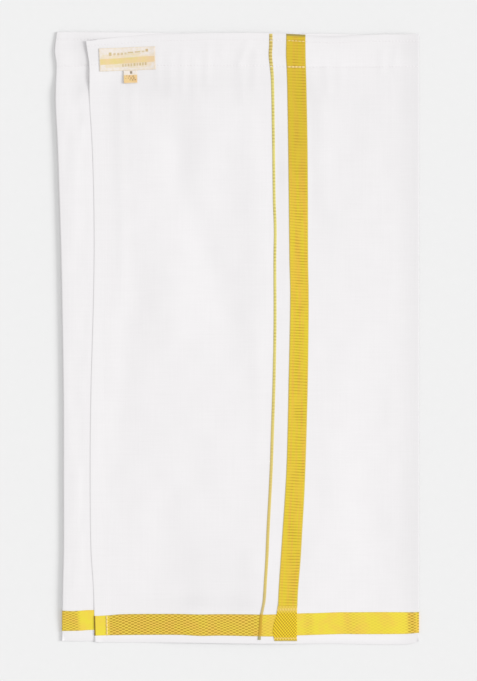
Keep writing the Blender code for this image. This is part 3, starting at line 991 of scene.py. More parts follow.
# %% [markdown]
# The back lies flat on the table, so it needs no folds: only its outline, the casing at the waist and the
# straight grain that carries the border across it.

# %% Back
BACK_RUN = 350.0

back_rows = rows_up(2 * CELL)
shares = np.broadcast_to(spaced(0.0, 1.0, 8.0 / BACK_RUN)[None, :], (len(back_rows), 45))
outer = back_place(shares, back_rows + 0.0 * shares)
back = shell("back_cloth", outer, wall_thickness(back_rows), cloth_uv(shares * BACK_RUN, back_rows), cotton,
             flat_sides=("start", "end"))
add_amounts(back, "grey", BASE_GREY + 0.0 * outer[..., 0])

# %% [markdown]
# ## Zari
#
# Zari is gold-coloured metal foil wound on a yarn and woven in with the cotton. It makes the bottom border,
# the end stripe and a fine line beside it. Each is built as a ribbon as thin as its yarn, which lies on the
# cloth and follows its folds, so it keeps a crisp edge and a weave of its own. UV runs in millimetres along
# and across each ribbon. The tables give the edges as they lie, measured up from the hem.

# %% Tables of the upright bands
StripePoint = namedtuple("StripePoint", "up middle width")
END_STRIPE = (
    StripePoint(38.3, 51.3, 19.2),
    StripePoint(54.3, 52.0, 19.4),
    StripePoint(84.3, 54.2, 19.9),
    StripePoint(114.3, 56.1, 19.6),
    StripePoint(144.3, 58.0, 19.3),
    StripePoint(174.3, 59.5, 18.9),
    StripePoint(204.3, 60.5, 18.9),
    StripePoint(264.3, 61.9, 19.1),
    StripePoint(324.3, 62.9, 18.6),
    StripePoint(354.3, 63.0, 18.4),
    StripePoint(384.3, 62.4, 18.6),
    StripePoint(444.3, 62.0, 19.1),
    StripePoint(504.3, 61.4, 19.3),
    StripePoint(534.3, 60.9, 19.2),
    StripePoint(564.3, 60.3, 19.2),
    StripePoint(578.3, 59.8, 19.2),
    StripePoint(589.3, 59.4, 19.5),
    StripePoint(610.4, 59.5, 19.0),
)
FINE_LINE = (
    StripePoint(5.0, 22.8, 2.9),
    StripePoint(14.0, 23.8, 3.0),
    StripePoint(27.3, 24.6, 2.9),
    StripePoint(34.3, 26.1, 2.5),
    StripePoint(44.3, 27.8, 2.9),
    StripePoint(64.3, 29.1, 2.8),
    StripePoint(84.3, 30.4, 2.9),
    StripePoint(114.3, 31.7, 2.9),
    StripePoint(144.3, 33.3, 2.8),
    StripePoint(174.3, 34.8, 2.8),
    StripePoint(204.3, 35.8, 2.9),
    StripePoint(264.3, 37.7, 2.8),
    StripePoint(324.3, 38.7, 2.7),
    StripePoint(384.3, 38.5, 2.6),
    StripePoint(414.3, 38.9, 2.6),
    StripePoint(444.3, 37.9, 2.6),
    StripePoint(504.3, 37.1, 2.6),
    StripePoint(564.3, 36.1, 2.9),
    StripePoint(578.3, 35.0, 3.2),
    StripePoint(589.3, 34.0, 3.3),
    StripePoint(599.3, 34.5, 3.3),
    StripePoint(610.4, 34.5, 3.1),
)
CROSSING = (
    StripePoint(3.2, 49.4, 22.3),
    StripePoint(8.3, 48.7, 23.5),
    StripePoint(13.8, 48.4, 24.1),
    StripePoint(20.3, 48.9, 23.1),
    StripePoint(24.3, 49.5, 22.0),
    StripePoint(28.3, 50.2, 20.7),
    StripePoint(32.3, 50.6, 20.0),
    StripePoint(38.3, 51.1, 19.4),
)

print("the end stripe is", END_STRIPE[0].width, "mm wide at the border")

# %% [markdown]
# The border's edges wander a little, since the hem was laid down by hand. Its last column is the strength of
# the figured weave: 1 where dark floats show fully, and 0 where the border is plain.

# %% Tables of the border
BorderPoint = namedtuple("BorderPoint", "x bottom top figure")
OVER_BORDER = (
    BorderPoint(-142.0, 8.6, 28.3, 0.0),
    BorderPoint(-138.4, 8.7, 28.3, 0.0),
    BorderPoint(-129.6, 8.9, 28.8, 0.0),
    BorderPoint(-126.4, 9.0, 29.0, 0.9),
    BorderPoint(-116.4, 9.1, 29.9, 1.0),
    BorderPoint(-96.4, 9.3, 30.3, 1.0),
    BorderPoint(-56.4, 9.3, 30.3, 1.0),
    BorderPoint(-36.4, 8.3, 29.8, 0.9),
    BorderPoint(-16.4, 8.6, 30.1, 0.9),
    BorderPoint(13.6, 8.1, 29.9, 0.9),
    BorderPoint(22.6, 7.9, 29.7, 0.8),
    BorderPoint(27.6, 7.8, 29.6, 0.35),
    BorderPoint(40.0, 7.8, 29.9, 0.3),
    BorderPoint(65.6, 9.0, 30.9, 0.12),
    BorderPoint(70.0, 9.1, 31.0, 0.3),
    BorderPoint(75.0, 9.3, 31.1, 0.3),
    BorderPoint(78.0, 9.4, 31.1, 0.12),
    BorderPoint(103.6, 10.2, 32.0, 0.14),
    BorderPoint(112.0, 10.2, 32.0, 0.35),
    BorderPoint(120.0, 10.1, 32.0, 0.3),
    BorderPoint(126.0, 10.1, 32.0, 0.16),
    BorderPoint(143.6, 10.1, 32.1, 0.16),
    BorderPoint(170.0, 10.3, 32.0, 0.25),
    BorderPoint(173.0, 10.5, 32.0, 0.85),
    BorderPoint(178.4, 10.9, 32.0, 0.95),
    BorderPoint(179.4, 11.0, 32.0, 0.3),
    BorderPoint(181.0, 11.1, 32.1, 0.4),
    BorderPoint(182.0, 11.2, 32.1, 1.0),
)
UNDER_BORDER = (
    BorderPoint(-175.0, 13.2, 33.5, 0.7),
    BorderPoint(-164.4, 13.3, 33.1, 0.8),
    BorderPoint(-160.4, 13.4, 33.3, 0.7),
    BorderPoint(-157.0, 13.5, 33.5, 0.1),
    BorderPoint(-148.4, 14.1, 34.1, 0.0),
    BorderPoint(154.0, 12.0, 33.0, 0.0),
)
BACK_BORDER = (
    BorderPoint(-175.0, 13.2, 33.5, 0.7),
    BorderPoint(-100.0, 12.4, 33.0, 0.9),
    BorderPoint(100.0, 11.4, 32.4, 0.9),
    BorderPoint(182.0, 11.2, 32.1, 0.8),
)
print(f"the border is {OVER_BORDER[0].top - OVER_BORDER[0].bottom:.1f} mm high at the free edge")

# %% [markdown]
# A ribbon is made in the same way as the cloth, from points on the cloth's outer face, moved out along its
# normals. Each ribbon is its own closed piece, about as thick as the metal yarn. Where two ribbons cross,
# the upper one is lifted a little more, so that the two never share a plane.

# %% Ribbon builder
ZARI_LIFT = 0.2
ZARI_WALL = 0.12
ZARI_TOP = 610.6
CROSSING_LIFT = 0.16
RIBBON_CELL = 1.6


def ribbon(name, face, lift, uv, material, flat_sides=(), figure=None):
    """A closed ribbon on a grid of points of a cloth's face, with its figure as an attribute."""
    outer = face + lift * grid_normals(face)
    made = shell(name, outer, ZARI_WALL, uv, material, flat_sides)
    if figure is not None:
        add_amounts(made, "figure", figure)
    return made


def over_face(x, seen_up):
    """Points on the over front's outer face, by X and by the height at which they are seen."""
    up = unbend(seen_up, x, OVER_HEM, OVER_WAIST)
    return over_place(x - along(SECTIONS, up, "free_edge"), up)


def stripe_grid(table, low, high, columns):
    """X, height and share of the width for each point of an upright ribbon."""
    seen_up = spaced(low, high, RIBBON_CELL)[:, None]
    shares = np.linspace(0.0, 1.0, columns)[None, :]
    middle = along(table, seen_up, "middle")
    width = along(table, seen_up, "width")
    return middle + width * (shares - 0.5), seen_up + 0.0 * shares, shares + 0.0 * seen_up


print("a ribbon stands", ZARI_LIFT, "mm proud of the cloth")

# %% [markdown]
# The real metal yarn is soft gold with a satin shine, and the photograph shows it warm yellow with darker
# bands where it goes under the cotton. A part metallic, middling rough surface gives that under a pale sky.
# The end stripe has fine cross ribs, stronger towards one side, and a darker selvedge thread at both edges.

# %% Zari material of the end stripe
RIB = 2.9


def zari(name):
    """A material for gold zari, its tree and shader, and its UV in millimetres as separate numbers."""
    material, tree, shader = new_material(name, roughness=0.62, metallic=0.2)
    shader.inputs["Specular IOR Level"].default_value = 0.4
    uv = add_node(tree, "ShaderNodeUVMap", uv_map="weave")
    parts = add_node(tree, "ShaderNodeSeparateXYZ", {0: uv.outputs["UV"]})
    return material, tree, shader, uv, parts


def end_stripe_material():
    """Cross ribs that come and go in patches, warm and cool streaks, and three tints along its edges."""
    material, tree, shader, uv, parts = zari("Gold zari, ribbed")
    across = parts.outputs["X"]
    along_it = parts.outputs["Y"]
    drift = add_node(tree, "ShaderNodeTexNoise", {"Vector": uv.outputs["UV"], "Scale": 0.02, "Detail": 1.0})
    phase = add_node(tree, "ShaderNodeMath", {0: drift.outputs["Fac"], 1: 9.0}, operation="MULTIPLY")
    turns = add_node(tree, "ShaderNodeMath", {0: along_it, 1: math.tau / RIB, 2: phase.outputs[0]},
                     operation="MULTIPLY_ADD")
    wave = add_node(tree, "ShaderNodeMath", {0: turns.outputs[0]}, operation="SINE")
    rib = add_node(tree, "ShaderNodeMapRange", {"Value": wave.outputs[0], 1: -0.2, 2: 1.0},
                   interpolation_type="SMOOTHSTEP")
    patch_place = add_node(
        tree, "ShaderNodeMapping", {"Vector": uv.outputs["UV"], "Scale": (0.09, 0.05, 1.0)})
    patches = add_node(
        tree, "ShaderNodeTexNoise", {"Vector": patch_place.outputs[0], "Scale": 1.0, "Detail": 2.0})
    strength = add_node(
        tree, "ShaderNodeMapRange", {"Value": patches.outputs["Fac"], 1: 0.35, 2: 0.62, 3: 0.3, 4: 1.0})
    plain_side = add_node(tree, "ShaderNodeMapRange", {"Value": across, 1: 4.5, 2: 7.5, 3: 0.55, 4: 1.0})
    strength = add_node(
        tree, "ShaderNodeMath", {0: strength.outputs[0], 1: plain_side.outputs[0]}, operation="MULTIPLY")
    rib = add_node(tree, "ShaderNodeMath", {0: rib.outputs[0], 1: strength.outputs[0]}, operation="MULTIPLY")
    streak_place = add_node(
        tree, "ShaderNodeMapping", {"Vector": uv.outputs["UV"], "Scale": (0.33, 0.012, 1.0)})
    streaks = add_node(
        tree, "ShaderNodeTexNoise", {"Vector": streak_place.outputs[0], "Scale": 1.0, "Detail": 2.0})
    warmth = add_node(tree, "ShaderNodeMapRange", {"Value": streaks.outputs["Fac"], 1: 0.42, 2: 0.62})
    light = add_node(tree, "ShaderNodeMix", {0: warmth.outputs[0], 6: linear("e0c831"), 7: linear("e5bd3e")},
                     data_type="RGBA")
    dark = add_node(tree, "ShaderNodeMix", {0: warmth.outputs[0], 6: linear("bfa31d"), 7: linear("c2992a")},
                    data_type="RGBA")
    woven = add_node(tree, "ShaderNodeMix", {0: rib.outputs[0], 6: light.outputs[2], 7: dark.outputs[2]},
                     data_type="RGBA")
    from_middle = add_node(tree, "ShaderNodeMath", {0: across, 1: 10.0}, operation="SUBTRACT")
    from_middle = add_node(tree, "ShaderNodeMath", {0: from_middle.outputs[0]}, operation="ABSOLUTE")
    colour = woven
    for place, starts, ends, most, tint in (
            (from_middle.outputs[0], 9.0, 9.6, 1.0, "d0bb58"),
            (along_it, 430.0, 500.0, 0.35, "c0a01c"),
            (along_it, 608.0, 609.2, 1.0, "a3924a")):
        share = add_node(tree, "ShaderNodeMapRange", {"Value": place, 1: starts, 2: ends, 4: most})
        colour = add_node(
            tree, "ShaderNodeMix", {0: share.outputs[0], 6: colour.outputs[2], 7: linear(tint)},
            data_type="RGBA")
    tree.links.new(colour.outputs[2], shader.inputs["Base Color"])
    relief = add_node(tree, "ShaderNodeMath", {0: 1.0, 1: rib.outputs[0]}, operation="SUBTRACT")
    bump = add_node(
        tree, "ShaderNodeBump", {"Height": relief.outputs[0], "Strength": 0.4, "Distance": 0.00015})
    tree.links.new(bump.outputs["Normal"], shader.inputs["Normal"])
    return material


ribbed_zari = end_stripe_material()
print("ribs every", RIB, "mm")

# %% [markdown]
# The end stripe lies on the over front from the border to the waist. Its ribs and its top end lean a little,
# since the cloth was turned in by hand there, and its foot rises to meet the crossing without a step.

# %% End stripe
STRIPE_LEAN = 0.9

x, seen_up, shares = stripe_grid(END_STRIPE, 38.4, ZARI_TOP, 15)
seen_up = seen_up - STRIPE_LEAN * shares * smooth((seen_up - 596.0) / 12.0)
stripe_lift = ZARI_LIFT + CROSSING_LIFT * (1.0 - smooth((seen_up - 38.0) / 8.0))
end_stripe = ribbon(
    "end_stripe", over_face(x, seen_up), stripe_lift[..., None],
    np.stack([20.0 * shares, seen_up + STRIPE_LEAN * shares], axis=-1), ribbed_zari)

# %% [markdown]
# Where the end stripe crosses the border both threads are gold, so the weave closes up into a dense twill
# whose floats run in steep diagonals. A row of light floats ties it off at its foot, and a plain zone and
# another such row at its top. Two sine waves that cross make the floats, with no need for a picture.

# %% Twill where the end stripe crosses the border
TWILL = 2.3


def twill_material():
    """Steep diagonals broken by a counter-diagonal, and light floats in a row at the foot and at the top."""
    material, tree, shader, _, parts = zari("Gold zari, twill")
    across = parts.outputs["X"]
    height = parts.outputs["Y"]
    slant = add_node(tree, "ShaderNodeMath", {0: across, 1: 1.25}, operation="MULTIPLY")
    slant = add_node(tree, "ShaderNodeMath", {0: slant.outputs[0], 1: height}, operation="ADD")
    turns = add_node(
        tree, "ShaderNodeMath", {0: slant.outputs[0], 1: math.tau / (1.6 * TWILL)}, operation="MULTIPLY")
    lines = add_node(tree, "ShaderNodeMath", {0: turns.outputs[0]}, operation="SINE")
    counter = add_node(tree, "ShaderNodeMath", {0: across, 1: height}, operation="SUBTRACT")
    counter = add_node(tree, "ShaderNodeMath", {0: counter.outputs[0], 1: math.tau / (1.25 * TWILL)},
                       operation="MULTIPLY")
    dots = add_node(tree, "ShaderNodeMath", {0: counter.outputs[0]}, operation="SINE")
    dotted = add_node(tree, "ShaderNodeMapRange", {"Value": across, 1: 5.0, 2: 12.0, 3: 0.35, 4: 1.0})
    dots = add_node(tree, "ShaderNodeMath", {0: dots.outputs[0], 1: dotted.outputs[0]}, operation="MULTIPLY")
    floats = add_node(tree, "ShaderNodeMath", {0: lines.outputs[0], 1: dots.outputs[0]}, operation="ADD")
    floats = add_node(tree, "ShaderNodeMapRange", {"Value": floats.outputs[0], 1: -0.7, 2: 0.8})
    tied = []
    for level, half in ((5.8, 1.2), (34.9, 1.4)):
        away = add_node(tree, "ShaderNodeMath", {0: height, 1: level}, operation="SUBTRACT")
        away = add_node(tree, "ShaderNodeMath", {0: away.outputs[0]}, operation="ABSOLUTE")
        near = add_node(tree, "ShaderNodeMapRange", {"Value": away.outputs[0], 1: half, 2: half - 0.8})
        tied.append(near)
    tie = add_node(
        tree, "ShaderNodeMath", {0: tied[0].outputs[0], 1: tied[1].outputs[0]}, operation="MAXIMUM")
    woven = add_node(tree, "ShaderNodeMix", {0: floats.outputs[0], 6: linear("bb9310"), 7: linear("f3d726")},
                     data_type="RGBA")
    plain = add_node(tree, "ShaderNodeMapRange", {"Value": height, 1: 30.6, 2: 33.4, 3: 0.0, 4: 0.8})
    woven = add_node(tree, "ShaderNodeMix", {0: plain.outputs[0], 6: woven.outputs[2], 7: linear("e3c550")},
                     data_type="RGBA")
    beads = add_node(tree, "ShaderNodeMath", {0: across, 1: math.tau / 2.7}, operation="MULTIPLY")
    beads = add_node(tree, "ShaderNodeMath", {0: beads.outputs[0]}, operation="SINE")
    beads = add_node(tree, "ShaderNodeMapRange", {"Value": beads.outputs[0], 1: -1.0, 2: 1.0})
    tie_colour = add_node(
        tree, "ShaderNodeMix", {0: beads.outputs[0], 6: linear("dcba54"), 7: linear("eed070")},
        data_type="RGBA")
    colour = add_node(
        tree, "ShaderNodeMix", {0: tie.outputs[0], 6: woven.outputs[2], 7: tie_colour.outputs[2]},
        data_type="RGBA")
    end = add_node(tree, "ShaderNodeMapRange", {"Value": height, 1: 3.6, 2: 4.4, 3: 1.0, 4: 0.0})
    colour = add_node(tree, "ShaderNodeMix", {0: end.outputs[0], 6: colour.outputs[2], 7: linear("c0ae6c")},
                      data_type="RGBA")
    tree.links.new(colour.outputs[2], shader.inputs["Base Color"])
    bump = add_node(
        tree, "ShaderNodeBump", {"Height": floats.outputs[0], "Strength": 0.4, "Distance": 0.0002})
    tree.links.new(bump.outputs["Normal"], shader.inputs["Normal"])
    return material


x, seen_up, _ = stripe_grid(CROSSING, 3.2, 38.3, 17)
twill = ribbon(
    "end_stripe_crossing", over_face(x, seen_up), ZARI_LIFT + CROSSING_LIFT,
    np.stack([x - 38.0, seen_up], axis=-1), twill_material())

# %% [markdown]
# The fine line is a single heavy zari thread beside the end stripe. It shows as small beads where the
# cotton weft ties it down, and ends in a cut thread end below the border. The five tints, each over a
# stretch of its height, are where it runs paler, browner, or under the border's own gold.

# %% Fine line
BEAD = 3.3


def fine_line_material():
    """Beads of gold that darken in patches, with a tint over each of five stretches."""
    material, tree, shader, uv, parts = zari("Gold zari, single thread")
    height = parts.outputs["Y"]
    turns = add_node(tree, "ShaderNodeMath", {0: height, 1: math.tau / BEAD}, operation="MULTIPLY")
    wave = add_node(tree, "ShaderNodeMath", {0: turns.outputs[0]}, operation="SINE")
    bead = add_node(tree, "ShaderNodeMapRange", {"Value": wave.outputs[0], 1: -0.6, 2: 1.0})
    run = add_node(tree, "ShaderNodeMapping", {"Vector": uv.outputs["UV"], "Scale": (0.0, 0.04, 1.0)})
    patches = add_node(tree, "ShaderNodeTexNoise", {"Vector": run.outputs[0], "Scale": 1.0, "Detail": 3.0})
    depth = add_node(
        tree, "ShaderNodeMapRange", {"Value": patches.outputs["Fac"], 1: 0.4, 2: 0.6, 3: 0.1, 4: 0.55})
    cased = add_node(tree, "ShaderNodeMapRange", {"Value": height, 1: 562.0, 2: 580.0, 3: 0.0, 4: 0.8})
    depth = add_node(tree, "ShaderNodeMath", {0: depth.outputs[0], 1: cased.outputs[0]}, operation="MAXIMUM")
    bead = add_node(tree, "ShaderNodeMath", {0: bead.outputs[0], 1: depth.outputs[0]}, operation="MULTIPLY")
    colour = add_node(tree, "ShaderNodeMix", {0: bead.outputs[0], 6: linear("dacf78"), 7: linear("a8943e")},
                      data_type="RGBA")
    for starts, ends, most, tint in (
            (330.0, 150.0, 0.8, "d4bc6c"),
            (560.0, 590.0, 0.3, "d0a468"),
            (62.0, 46.0, 1.0, "ccb876"),
            (30.6, 29.4, 1.0, "c8a02c"),
            (8.6, 7.4, 1.0, "aaa67c")):
        share = add_node(tree, "ShaderNodeMapRange", {"Value": height, 1: starts, 2: ends, 4: most})
        colour = add_node(
            tree, "ShaderNodeMix", {0: share.outputs[0], 6: colour.outputs[2], 7: linear(tint)},
            data_type="RGBA")
    tree.links.new(colour.outputs[2], shader.inputs["Base Color"])
    relief = add_node(tree, "ShaderNodeMath", {0: 1.0, 1: bead.outputs[0]}, operation="SUBTRACT")
    bump = add_node(
        tree, "ShaderNodeBump", {"Height": relief.outputs[0], "Strength": 0.5, "Distance": 0.0002})
    tree.links.new(bump.outputs["Normal"], shader.inputs["Normal"])
    return material


x, seen_up, shares = stripe_grid(FINE_LINE, 4.4, ZARI_TOP, 5)
crown = 0.16 * (1.0 - (2.0 * shares - 1.0) ** 2)
line_lift = ZARI_LIFT + crown + CROSSING_LIFT * (1.0 - smooth((seen_up - 34.0) / 8.0))
fine_line = ribbon(
    "fine_line", over_face(x, seen_up), line_lift[..., None],
    np.stack([3.0 * shares, seen_up], axis=-1), fine_line_material())

# %% [markdown]
# The bottom border is woven in short gold floats. Where it is figured, the floats of each row lie between
# those of the next, like a chequerboard, so the ground shows between them as short dark dashes. In other
# stretches it is plain and bright. The tables above say how strong the figure is, and each mesh carries it
# as "figure". One sine wave up the border times one along it makes the chequer. Floats with faces of their
# own would take far more triangles, and would look no better from this far.

# %% Border material
FLOAT_ROW = 2.83
FLOAT_STEP = 6.15


def border_material():
    """A chequer of dark dashes on warm and cool gold, as strong as the mesh's figure, a pale selvedge and
    painted shade at its start.
    """
    material, tree, shader, uv, parts = zari("Gold zari, figured")
    run = parts.outputs["X"]
    height = parts.outputs["Y"]
    figure = add_node(tree, "ShaderNodeAttribute", attribute_name="figure")
    drift = add_node(tree, "ShaderNodeTexNoise", {"Vector": uv.outputs["UV"], "Scale": 0.05, "Detail": 1.0})
    phase = add_node(tree, "ShaderNodeMath", {0: drift.outputs["Fac"], 1: 7.0}, operation="MULTIPLY")
    row_turns = add_node(tree, "ShaderNodeMath", {0: height, 1: math.tau / FLOAT_ROW, 2: phase.outputs[0]},
                         operation="MULTIPLY_ADD")
    step_turns = add_node(tree, "ShaderNodeMath", {0: run, 1: math.tau / FLOAT_STEP}, operation="MULTIPLY")
    row = add_node(tree, "ShaderNodeMath", {0: row_turns.outputs[0]}, operation="SINE")
    step = add_node(tree, "ShaderNodeMath", {0: step_turns.outputs[0]}, operation="SINE")
    checker = add_node(tree, "ShaderNodeMath", {0: row.outputs[0], 1: step.outputs[0]}, operation="MULTIPLY")
    dark = add_node(tree, "ShaderNodeMapRange", {"Value": checker.outputs[0], 1: -0.4, 2: 0.6},
                    interpolation_type="SMOOTHSTEP")
    dark = add_node(
        tree, "ShaderNodeMath", {0: dark.outputs[0], 1: figure.outputs["Fac"]}, operation="MULTIPLY")
    hues = add_node(tree, "ShaderNodeTexNoise", {"Vector": uv.outputs["UV"], "Scale": 0.07, "Detail": 2.0})
    warmth = add_node(tree, "ShaderNodeMapRange", {"Value": hues.outputs["Fac"], 1: 0.4, 2: 0.62})
    plain = add_node(tree, "ShaderNodeMix", {0: warmth.outputs[0], 6: linear("ebd93e"), 7: linear("edcf48")},
                     data_type="RGBA")
    ground = add_node(tree, "ShaderNodeMix", {0: warmth.outputs[0], 6: linear("e8cc4a"), 7: linear("ebc350")},
                      data_type="RGBA")
    light = add_node(
        tree, "ShaderNodeMix", {0: figure.outputs["Fac"], 6: plain.outputs[2], 7: ground.outputs[2]},
        data_type="RGBA")
    colour = add_node(tree, "ShaderNodeMix", {0: dark.outputs[0], 6: light.outputs[2], 7: linear("b38e18")},
                      data_type="RGBA")
    from_middle = add_node(tree, "ShaderNodeMath", {0: height, 1: 10.5}, operation="SUBTRACT")
    from_middle = add_node(tree, "ShaderNodeMath", {0: from_middle.outputs[0]}, operation="ABSOLUTE")
    selvedge = add_node(
        tree, "ShaderNodeMapRange", {"Value": from_middle.outputs[0], 1: 9.4, 2: 10.2, 3: 0.0, 4: 0.75})
    selvedge = add_node(
        tree, "ShaderNodeMath", {0: selvedge.outputs[0], 1: figure.outputs["Fac"]}, operation="MULTIPLY")
    colour = add_node(
        tree, "ShaderNodeMix", {0: selvedge.outputs[0], 6: colour.outputs[2], 7: linear("bfae58")},
        data_type="RGBA")
    # Painted shade: the first millimetre or two along each ribbon turns dark brown, as the shadow at the over
    # front's free edge.
    free_edge_painted_shade = add_node(tree, "ShaderNodeMapRange", {"Value": run, 1: 1.7, 2: 0.9})
    colour = add_node(
        tree, "ShaderNodeMix", {0: free_edge_painted_shade.outputs[0], 6: colour.outputs[2], 7: linear("86691c")},
        data_type="RGBA")
    tree.links.new(colour.outputs[2], shader.inputs["Base Color"])
    relief = add_node(tree, "ShaderNodeMath", {0: 1.0, 1: dark.outputs[0]}, operation="SUBTRACT")
    bump = add_node(
        tree, "ShaderNodeBump", {"Height": relief.outputs[0], "Strength": 0.4, "Distance": 0.00015})
    tree.links.new(bump.outputs["Normal"], shader.inputs["Normal"])
    return material


figured_zari = border_material()
print("material:", figured_zari.name)

# %% [markdown]
# The border runs right round the garment, so it takes three ribbons: one on the over front and round the
# right fold, one round the left fold and on the strip of the under front that shows, and one on the back.
# Where the over front hides the under front, nobody sees a border, so there is none.

# %% Border on each stretch
BORDER_ROWS = 15
BORDER_UP = 20.0
BORDER_WIDTH = 21.0
shares = np.linspace(0.0, 1.0, BORDER_ROWS)[:, None]


def border_heights(table, x, hem, waist):
    """The level rows of a border at each X, from its bottom edge to its top edge."""
    seen = along(table, x, "bottom") + (along(table, x, "top") - along(table, x, "bottom")) * shares
    return unbend(seen, x, hem, waist)


at_border = np.array(BORDER_UP)
run = float(over_run(at_border))
roll = float(right_radius(at_border)) * np.linspace(0.0, math.pi, ROLL_STEPS + 1)[1:]
distances = np.concatenate([[0.1, 0.8, 1.4], spaced(2.0, run, RIBBON_CELL), run + roll])[None, :]
x = np.minimum(along(SECTIONS, at_border, "free_edge") + distances, RIGHT_FOLD)
up = border_heights(OVER_BORDER, x, OVER_HEM, OVER_WAIST)
over_border = ribbon(
    "over_border", over_place(distances + 0.0 * up, up), ZARI_LIFT,
    np.stack([distances + 0.0 * up, BORDER_WIDTH * shares + 0.0 * up], axis=-1), figured_zari,
    flat_sides=("end",), figure=along(OVER_BORDER, x, "figure") + 0.0 * up)

half_turn = math.pi * float(left_radius(at_border))
roll = np.linspace(0.0, half_turn, ROLL_STEPS + 1)
shown = half_turn + spaced(0.0, 44.0, RIBBON_CELL)[1:]
distances = np.concatenate([roll, shown])[None, :]
x = float(along(SECTIONS, at_border, "left_fold")) + np.maximum(distances - half_turn, 0.0)
up = border_heights(UNDER_BORDER, x, UNDER_HEM, UNDER_WAIST)
under_border = ribbon(
    "under_border", under_place(distances + 0.0 * up, up), ZARI_LIFT,
    np.stack([distances + 0.0 * up, BORDER_WIDTH * shares + 0.0 * up], axis=-1), figured_zari,
    flat_sides=("start", "end"), figure=along(UNDER_BORDER, x, "figure") + 0.0 * up)

across_back = spaced(0.0, 1.0, 4.0 / BACK_RUN)[None, :]
x = RIGHT_FOLD - BACK_RUN * across_back
up = border_heights(BACK_BORDER, x, BACK_HEM, BACK_WAIST)
back_border = ribbon(
    "back_border", back_place(across_back + 0.0 * up, up), ZARI_LIFT,
    np.stack([BACK_RUN * across_back + 0.0 * up, BORDER_WIDTH * shares + 0.0 * up], axis=-1), figured_zari,
    flat_sides=("start", "end"), figure=along(BACK_BORDER, x, "figure") + 0.0 * up)

# %% [markdown]
# ## Sewing
#
# The casing and the side hem are held by a lockstitch in white thread, three stitches to the centimetre.
# One stitch is a short bar that narrows to both ends. A Geometry Nodes tree lays it along each seam: the
# seam's polyline is resampled to the stitch length, and a stitch is turned to follow it at each point. The
# bar's share of that length leaves the gap between two stitches, and on gold the bars are wider and overlap.

# %% Stitch tree
STITCH = 3.3
THREAD_WIDTH = 0.6
GOLD_THREAD_WIDTH = 2.0
BAR_SHARE = 0.94
BAR_SEGMENTS = 6
BAR_RINGS = 4


def thread_material(name, dim, bright):
    """Twisted sewing thread: two close tones in fine diagonal bands, as its plies catch the light."""
    material, tree, shader = new_material(name, roughness=0.5, sheen=0.3)
    place = add_node(tree, "ShaderNodeTexCoord")
    ply = add_node(
        tree, "ShaderNodeTexWave", {"Vector": place.outputs["Object"], "Scale": 900.0, "Distortion": 1.0},
        bands_direction="DIAGONAL")
    tone = add_node(tree, "ShaderNodeMix", {0: ply.outputs["Fac"], 6: linear(dim), 7: linear(bright)},
                    data_type="RGBA")
    tree.links.new(tone.outputs[2], shader.inputs["Base Color"])
    return material


white_thread = thread_material("White polyester sewing thread", "e4e0e2", "eeebec")
gilt_thread = thread_material("Cream sewing thread on gold", "e2c47c", "ecd084")


def stitch_tree():
    """Lays one stitch at each step along the polylines of a mesh."""
    tree = bpy.data.node_groups.new("stitches along a seam", "GeometryNodeTree")
    interface = tree.interface
    interface.new_socket("Seams", in_out="INPUT", socket_type="NodeSocketGeometry")
    for name in ("Stitch length", "Bar share", "Thread width"):
        interface.new_socket(name, in_out="INPUT", socket_type="NodeSocketFloat")
    interface.new_socket("Thread", in_out="INPUT", socket_type="NodeSocketMaterial")
    interface.new_socket("Stitches", in_out="OUTPUT", socket_type="NodeSocketGeometry")
    start = add_node(tree, "NodeGroupInput")
    path = add_node(tree, "GeometryNodeMeshToCurve", {"Mesh": start.outputs["Seams"]})
    steps = add_node(
        tree, "GeometryNodeResampleCurve",
        {"Curve": path.outputs[0], "Length": start.outputs["Stitch length"]}, mode="LENGTH")
    direction = add_node(tree, "GeometryNodeInputTangent")
    turn = add_node(tree, "FunctionNodeAlignRotationToVector", {"Vector": direction.outputs[0]}, axis="X")
    bar = add_node(
        tree, "GeometryNodeMeshUVSphere", {"Segments": BAR_SEGMENTS, "Rings": BAR_RINGS, "Radius": 0.5})
    bar_length = add_node(
        tree, "ShaderNodeMath", {0: start.outputs["Stitch length"], 1: start.outputs["Bar share"]},
        operation="MULTIPLY")
    bar_height = add_node(
        tree, "ShaderNodeMath", {0: start.outputs["Thread width"], 1: 0.5}, operation="MULTIPLY")
    size = add_node(tree, "ShaderNodeCombineXYZ", {
        0: bar_length.outputs[0], 1: start.outputs["Thread width"], 2: bar_height.outputs[0]})
    laid = add_node(tree, "GeometryNodeInstanceOnPoints", {
        "Points": steps.outputs[0],
        "Instance": bar.outputs["Mesh"],
        "Rotation": turn.outputs[0],
        "Scale": size.outputs[0],
    })
    real = add_node(tree, "GeometryNodeRealizeInstances", {0: laid.outputs[0]})
    dressed = add_node(
        tree, "GeometryNodeSetMaterial", {"Geometry": real.outputs[0], "Material": start.outputs["Thread"]})
    end = add_node(tree, "NodeGroupOutput")
    tree.links.new(dressed.outputs[0], end.inputs[0])
    return tree


STITCHES = stitch_tree()


